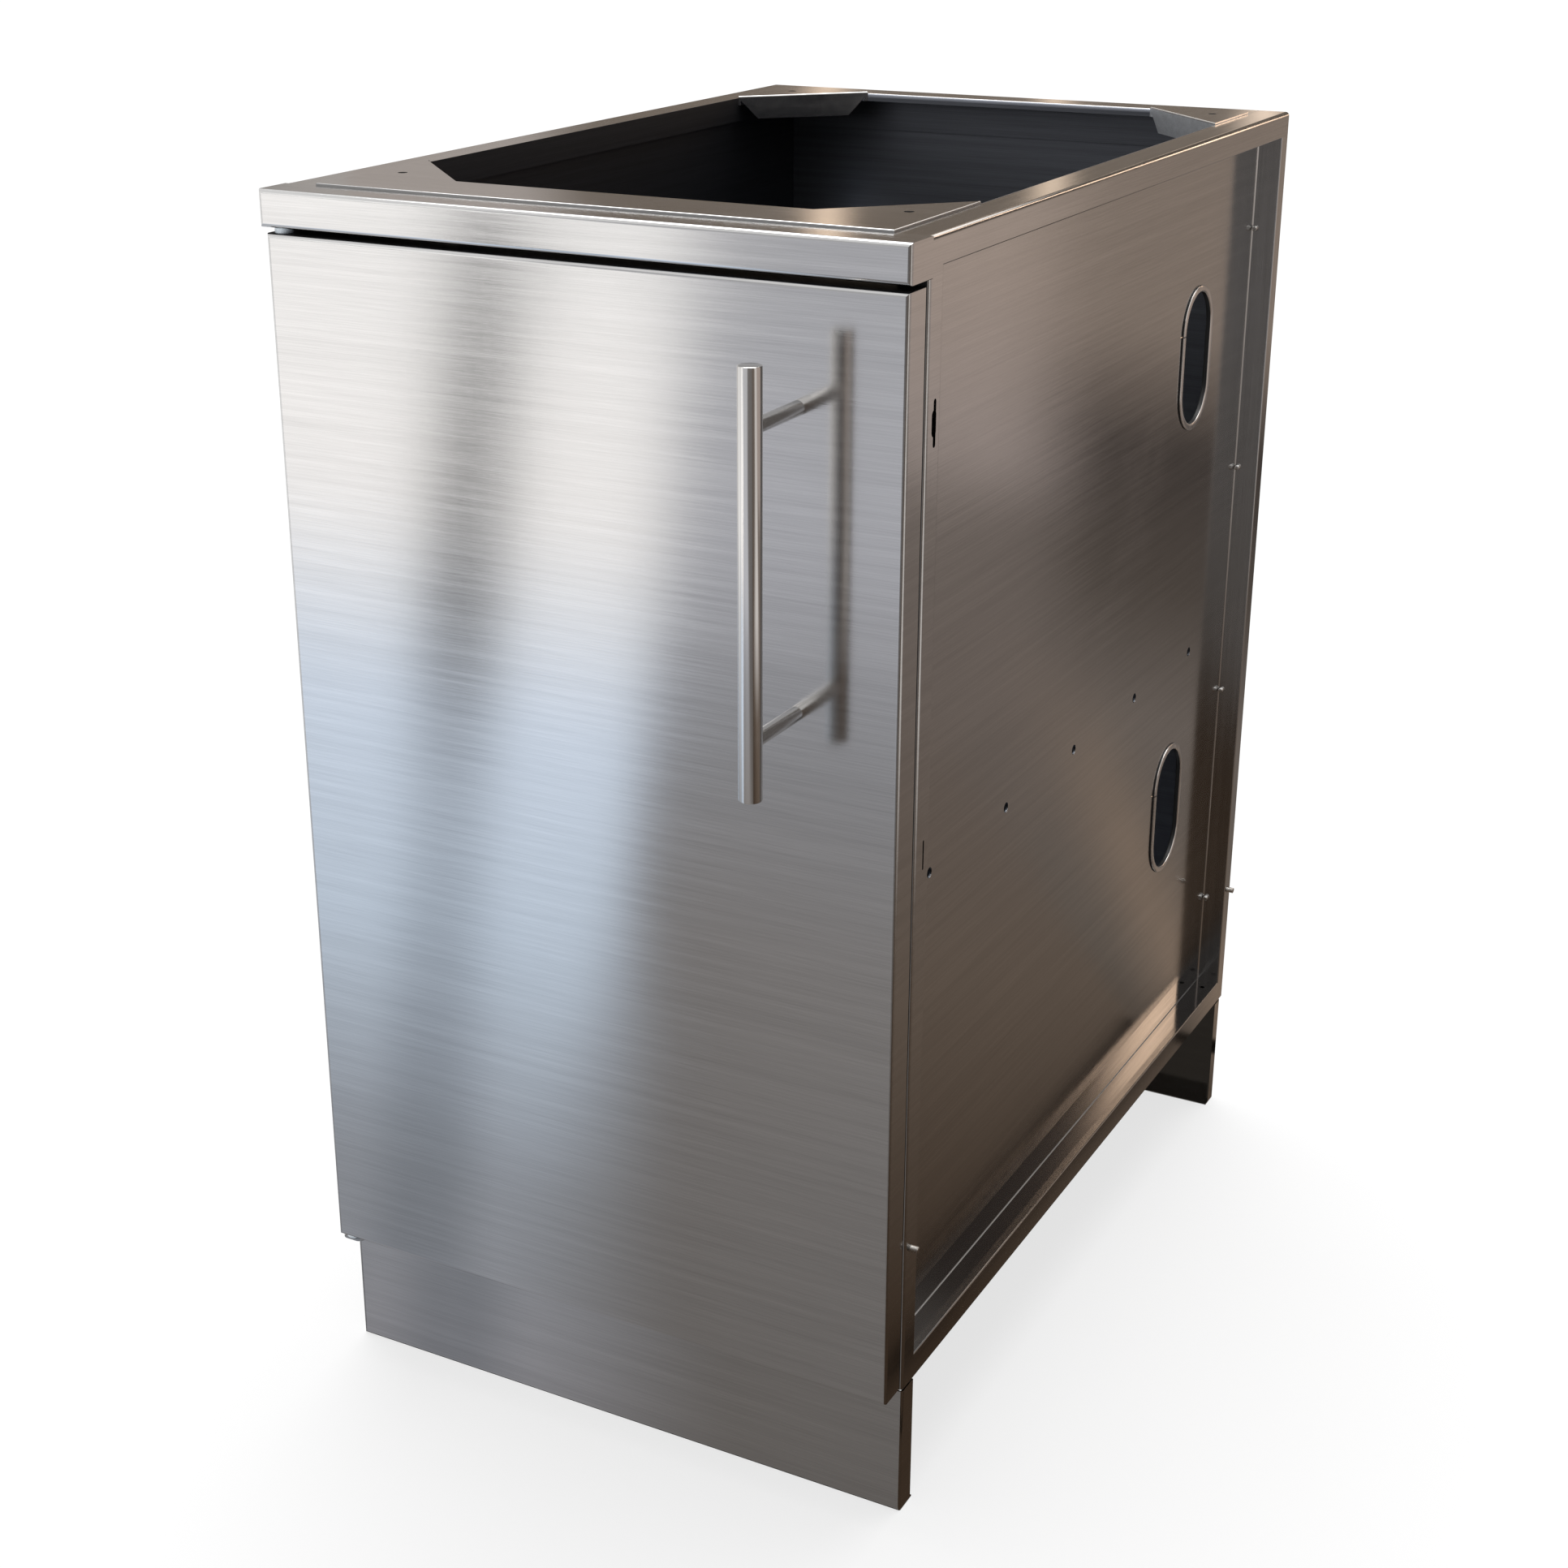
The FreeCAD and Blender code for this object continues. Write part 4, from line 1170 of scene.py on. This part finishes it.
# An edge has an offset, a slant, and its softness at the foot and above it. A band has an offset, a slant,
# half a width, a softness, its reach up the cloth, a colour and a strength. A kerb has a height, half a
# width and a softness. The tilt leans the runs of colour along the side.
FRONT_CLOTH = {
    "dim": stops((0.0, (0.2, 0.185, 0.175)), (0.5, (0.3, 0.285, 0.28)), (0.8, (0.38, 0.385, 0.41)),
                 (1.1, (0.62, 0.63, 0.68)), (3.6, (0.6, 0.6, 0.6))),
    "bright": stops((0.0, (0.38, 0.38, 0.41)), (0.2, (0.42, 0.45, 0.5)), (0.45, (0.82, 0.95, 1.12)),
                    (0.75, (1.0, 1.13, 1.32)), (1.05, (1.45, 1.42, 1.4)), (3.6, (1.5, 1.5, 1.49))),
    "edge": (-0.01, -0.505, 0.12, 0.035),
    "bands": [
        (-0.15, -0.62, 0.045, 0.035, ALL_UP, (0.14, 0.16, 0.19), 0.4),
        (-0.15, -0.62, 0.05, 0.035, HALF_UP, (0.14, 0.14, 0.14), 0.75),
        (3.4, 0.0, 3.0, 0.15, ALL_UP, (0.14, 0.125, 0.115), 0.9),
    ],
}
RIGHT_CLOTH = {
    "tilt": 0.55,
    "kerb": (0.0665, 0.0065, 0.002),
    "dim": stops((0.0, (0.058, 0.038, 0.025)), (0.4, (0.154, 0.118, 0.092)), (1.0, (0.2, 0.165, 0.145)),
                 (1.5, (0.23, 0.195, 0.175)), (1.75, (0.42, 0.36, 0.33)), (3.6, (0.46, 0.38, 0.34))),
    "bright": stops((0.0, (0.058, 0.038, 0.025)), (0.4, (0.154, 0.118, 0.092)), (1.0, (0.18, 0.15, 0.13)),
                    (3.6, (0.38, 0.31, 0.26))),
    "edge": (-0.4, 0.0, 0.2, 0.2),
    "bands": [
        (-2.6, -0.3, 2.0, 0.4, ALL_UP, (0.1, 0.085, 0.075), 0.5),
        (-0.15, -0.23, 0.35, 0.2, HALF_UP, (0.75, 0.71, 0.68), 1.0),
    ],
}
BACK_CLOTH = {
    "kerb": (0.059, 0.009, 0.003),
    "dim": stops((0.0, (0.06, 0.045, 0.035)), (0.15, (0.15, 0.125, 0.105)), (0.5, (0.19, 0.16, 0.14)),
                 (0.75, (0.1, 0.082, 0.07)), (1.05, (0.068, 0.056, 0.05)), (1.35, (0.3, 0.24, 0.2)),
                 (2.0, (0.3, 0.24, 0.2)), (2.5, (0.2, 0.165, 0.135)), (3.32, (0.11, 0.088, 0.07)),
                 (3.4, (1.7, 1.6, 1.5)), (3.6, (1.7, 1.6, 1.5))),
    "bright": stops((0.0, (0.06, 0.045, 0.035)), (0.15, (0.15, 0.125, 0.105)), (0.5, (0.2, 0.165, 0.145)),
                    (0.84, (0.22, 0.185, 0.165)), (0.98, (0.44, 0.37, 0.34)), (1.5, (0.52, 0.42, 0.36)),
                    (3.6, (0.3, 0.25, 0.2))),
    "edge": (0.33, 0.43, -0.05, -0.05),
    "bands": [
        (0.17, 0.72, 0.02, 0.06, (-1.0, 0.62), (0.36, 0.26, 0.19), 0.9),
        (-3.75, 0.0, 2.0, 0.1, (1.8, 9.0), (0.42, 0.375, 0.345), 1.0),
        (-1.18, 0.0, 0.02, 0.055, HIGH_UP, (1.5, 1.15, 0.86), 1.0),
        (-0.76, 0.0, 0.015, 0.045, HIGH_UP, (1.4, 1.1, 0.84), 1.0),
        (-0.4, 0.0, 0.02, 0.05, HIGH_UP, (1.5, 1.2, 0.95), 1.0),
        (1.18, 0.0, 0.5, 0.06, HIGH_UP, (0.11, 0.09, 0.08), 0.9),
        (0.9, 0.0, 0.07, 0.05, HIGH_UP, (4.0, 2.9, 2.1), 1.0),
    ],
}
LEFT_CLOTH = {
    "dim": stops((0.0, (0.14, 0.14, 0.14)), (0.5, (0.4, 0.41, 0.43)), (1.2, (0.8, 0.8, 0.82)),
                 (2.2, (0.6, 0.57, 0.55)), (2.7, (0.42, 0.39, 0.365)), (3.6, (0.4, 0.37, 0.345))),
    "bright": stops((0.0, (0.2, 0.2, 0.21)), (0.5, (0.6, 0.63, 0.68)), (1.2, (1.1, 1.1, 1.1)),
                    (3.6, (0.9, 0.88, 0.86))),
    "edge": (0.2, 0.3, 0.1, 0.1),
    "bands": [(0.7, 0.5, 0.1, 0.1, ALL_UP, (0.15, 0.15, 0.15), 0.5)],
}


class CABINET_OT_stage(bpy.types.Operator):
    """Set the camera, the floor, the lamp and the cove that the steel reflects"""

    bl_idname = "cabinet.stage"
    bl_label = "Set the stage"

    def execute(self, context):
        stage = context.scene.cabinet_stage
        context.scene.view_settings.view_transform = "Standard"
        self.set_camera(context.scene, stage)
        self.lay_floor(stage)
        self.light(context.scene, stage)
        self.hang_cove(stage)
        return {"FINISHED"}

    def set_camera(self, scene, stage):
        """The camera's lens keeps the photograph's frame and its off-centre axis."""
        bpy.ops.object.camera_add()
        camera = bpy.context.object
        camera.name = "camera"
        aim = Matrix.Rotation(stage.camera_azimuth, 4, "Z")
        tip = Matrix.Rotation(math.pi / 2 - stage.camera_elevation, 4, "X")
        roll = Matrix.Rotation(-stage.camera_roll, 4, "Z")
        camera.matrix_world = Matrix.Translation(stage.camera_place) @ aim @ tip @ roll
        camera.data.sensor_width = SENSOR_WIDTH
        camera.data.lens = FOCAL_PIXELS * SENSOR_WIDTH / IMAGE_SIZE
        camera.data.shift_x = (IMAGE_SIZE / 2 - AXIS_PIXEL[0]) / IMAGE_SIZE
        camera.data.shift_y = (AXIS_PIXEL[1] - IMAGE_SIZE / 2) / IMAGE_SIZE
        scene.camera = camera

    def lay_floor(self, stage):
        floor = add("floor", bpy.ops.mesh.primitive_plane_add, size=stage.floor_size)
        floor.data.materials.append(floor_material(stage))

    def light(self, scene, stage):
        """Even light from all round, white in the picture, and one soft lamp."""
        scene.world = bpy.data.worlds.new("white_room")
        graph = bare_graph(scene.world)
        strength = graph.spread(seen_by_picture(graph), 0, 1, stage.room_light, 1.0)
        room = graph.fill(graph.add("ShaderNodeBackground"), (1, 1, 1, 1), strength)
        graph.put(graph.add("ShaderNodeOutputWorld").inputs["Surface"], room)
        bpy.ops.object.light_add(type="SUN", rotation=LAMP_TURN)
        lamp = bpy.context.object
        lamp.name = "soft_lamp"
        lamp.data.energy = stage.lamp_light
        lamp.data.angle = stage.lamp_angle

    def hang_cove(self, stage):
        """Four aprons that climb from the cabinet's foot and a wall round them, seen only in the steel."""
        low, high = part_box("toe_kick")[0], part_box("rear_kick")[1]
        middle = (low + high) / 2
        size = high - low
        reach = stage.cove_reach
        slope = stage.cove_rise / reach
        cove = add("studio_cove", bpy.ops.mesh.primitive_plane_add, size=1, scale=(size.x, size.y, 1),
                   location=(middle.x, middle.y, COVE_LIFT))
        with editing(cove):
            pick("EDGE", lambda edge: True)
            draw_out(0, 0, stage.cove_rise)
            bpy.ops.transform.resize(
                value=((size.x + 2 * reach) / size.x, (size.y + 2 * reach) / size.y, 1),
                center_override=(middle.x, middle.y, COVE_LIFT + stage.cove_rise))
            draw_out(0, 0, stage.cove_wall)
        cloths = [
            ("cloth_front", Vector((0, -1, 0)), -low.y, FRONT_CLOTH),
            ("cloth_right", Vector((1, 0, 0)), high.x, RIGHT_CLOTH),
            ("cloth_back", Vector((0, 1, 0)), high.y, BACK_CLOTH),
            ("cloth_left", Vector((-1, 0, 0)), -low.x, LEFT_CLOTH),
        ]
        cove.data.materials.append(under_material())
        for index, (name, outward, start, cloth) in enumerate(cloths, 1):
            cove.data.materials.append(cove_material(name, outward, start, slope, cloth))
            with editing(cove):
                pick("FACE", lambda face: (face.calc_center_median() - middle).dot(outward) > size.y
                     and abs(face.normal.dot(outward)) > 0.2)
                cove.active_material_index = index
                bpy.ops.object.material_slot_assign()
        for ray in ("camera", "diffuse", "transmission", "volume_scatter", "shadow"):
            setattr(cove, "visible_" + ray, False)


class CABINET_PT_sidebar(bpy.types.Panel):
    """Steps and settings of the cabinet"""

    bl_idname = "CABINET_PT_sidebar"
    bl_label = "Single door cabinet"
    bl_space_type = "VIEW_3D"
    bl_region_type = "UI"
    bl_category = "Cabinet"

    def draw(self, context):
        for step in STEPS:
            self.layout.operator(step.bl_idname)
        for name in GROUPS:
            settings = getattr(context.scene, name)
            box = self.layout.box()
            for label in settings.__annotations__:
                box.prop(settings, label)


GROUPS = {
    "cabinet_steel": CabinetSteelSettings,
    "cabinet_plastic": CabinetPlasticSettings,
    "cabinet_fittings": CabinetFittingSettings,
    "cabinet_stage": CabinetStageSettings,
}
STEPS = [
    CABINET_OT_brushed_sheets, CABINET_OT_hinge_parts, CABINET_OT_handle, CABINET_OT_edge_trims,
    CABINET_OT_back_screws, CABINET_OT_small_screws, CABINET_OT_joining_bolts, CABINET_OT_catch,
    CABINET_OT_bumpers, CABINET_OT_stage,
]


def register():
    for group in GROUPS.values():
        bpy.utils.register_class(group)
    for name, group in GROUPS.items():
        setattr(bpy.types.Scene, name, PointerProperty(type=group))
    for step in STEPS:
        bpy.utils.register_class(step)
    bpy.utils.register_class(CABINET_PT_sidebar)


def unregister():
    bpy.utils.unregister_class(CABINET_PT_sidebar)
    for step in reversed(STEPS):
        bpy.utils.unregister_class(step)
    for name, group in GROUPS.items():
        delattr(bpy.types.Scene, name)
        bpy.utils.unregister_class(group)


def main():
    register()
    bpy.ops.cabinet.brushed_sheets()
    bpy.ops.cabinet.hinge_parts()
    bpy.ops.cabinet.handle()
    bpy.ops.cabinet.edge_trims()
    bpy.ops.cabinet.back_screws()
    bpy.ops.cabinet.small_screws()
    bpy.ops.cabinet.joining_bolts()
    bpy.ops.cabinet.catch()
    bpy.ops.cabinet.bumpers()
    bpy.ops.cabinet.stage()


if __name__ == "__main__":
    main()
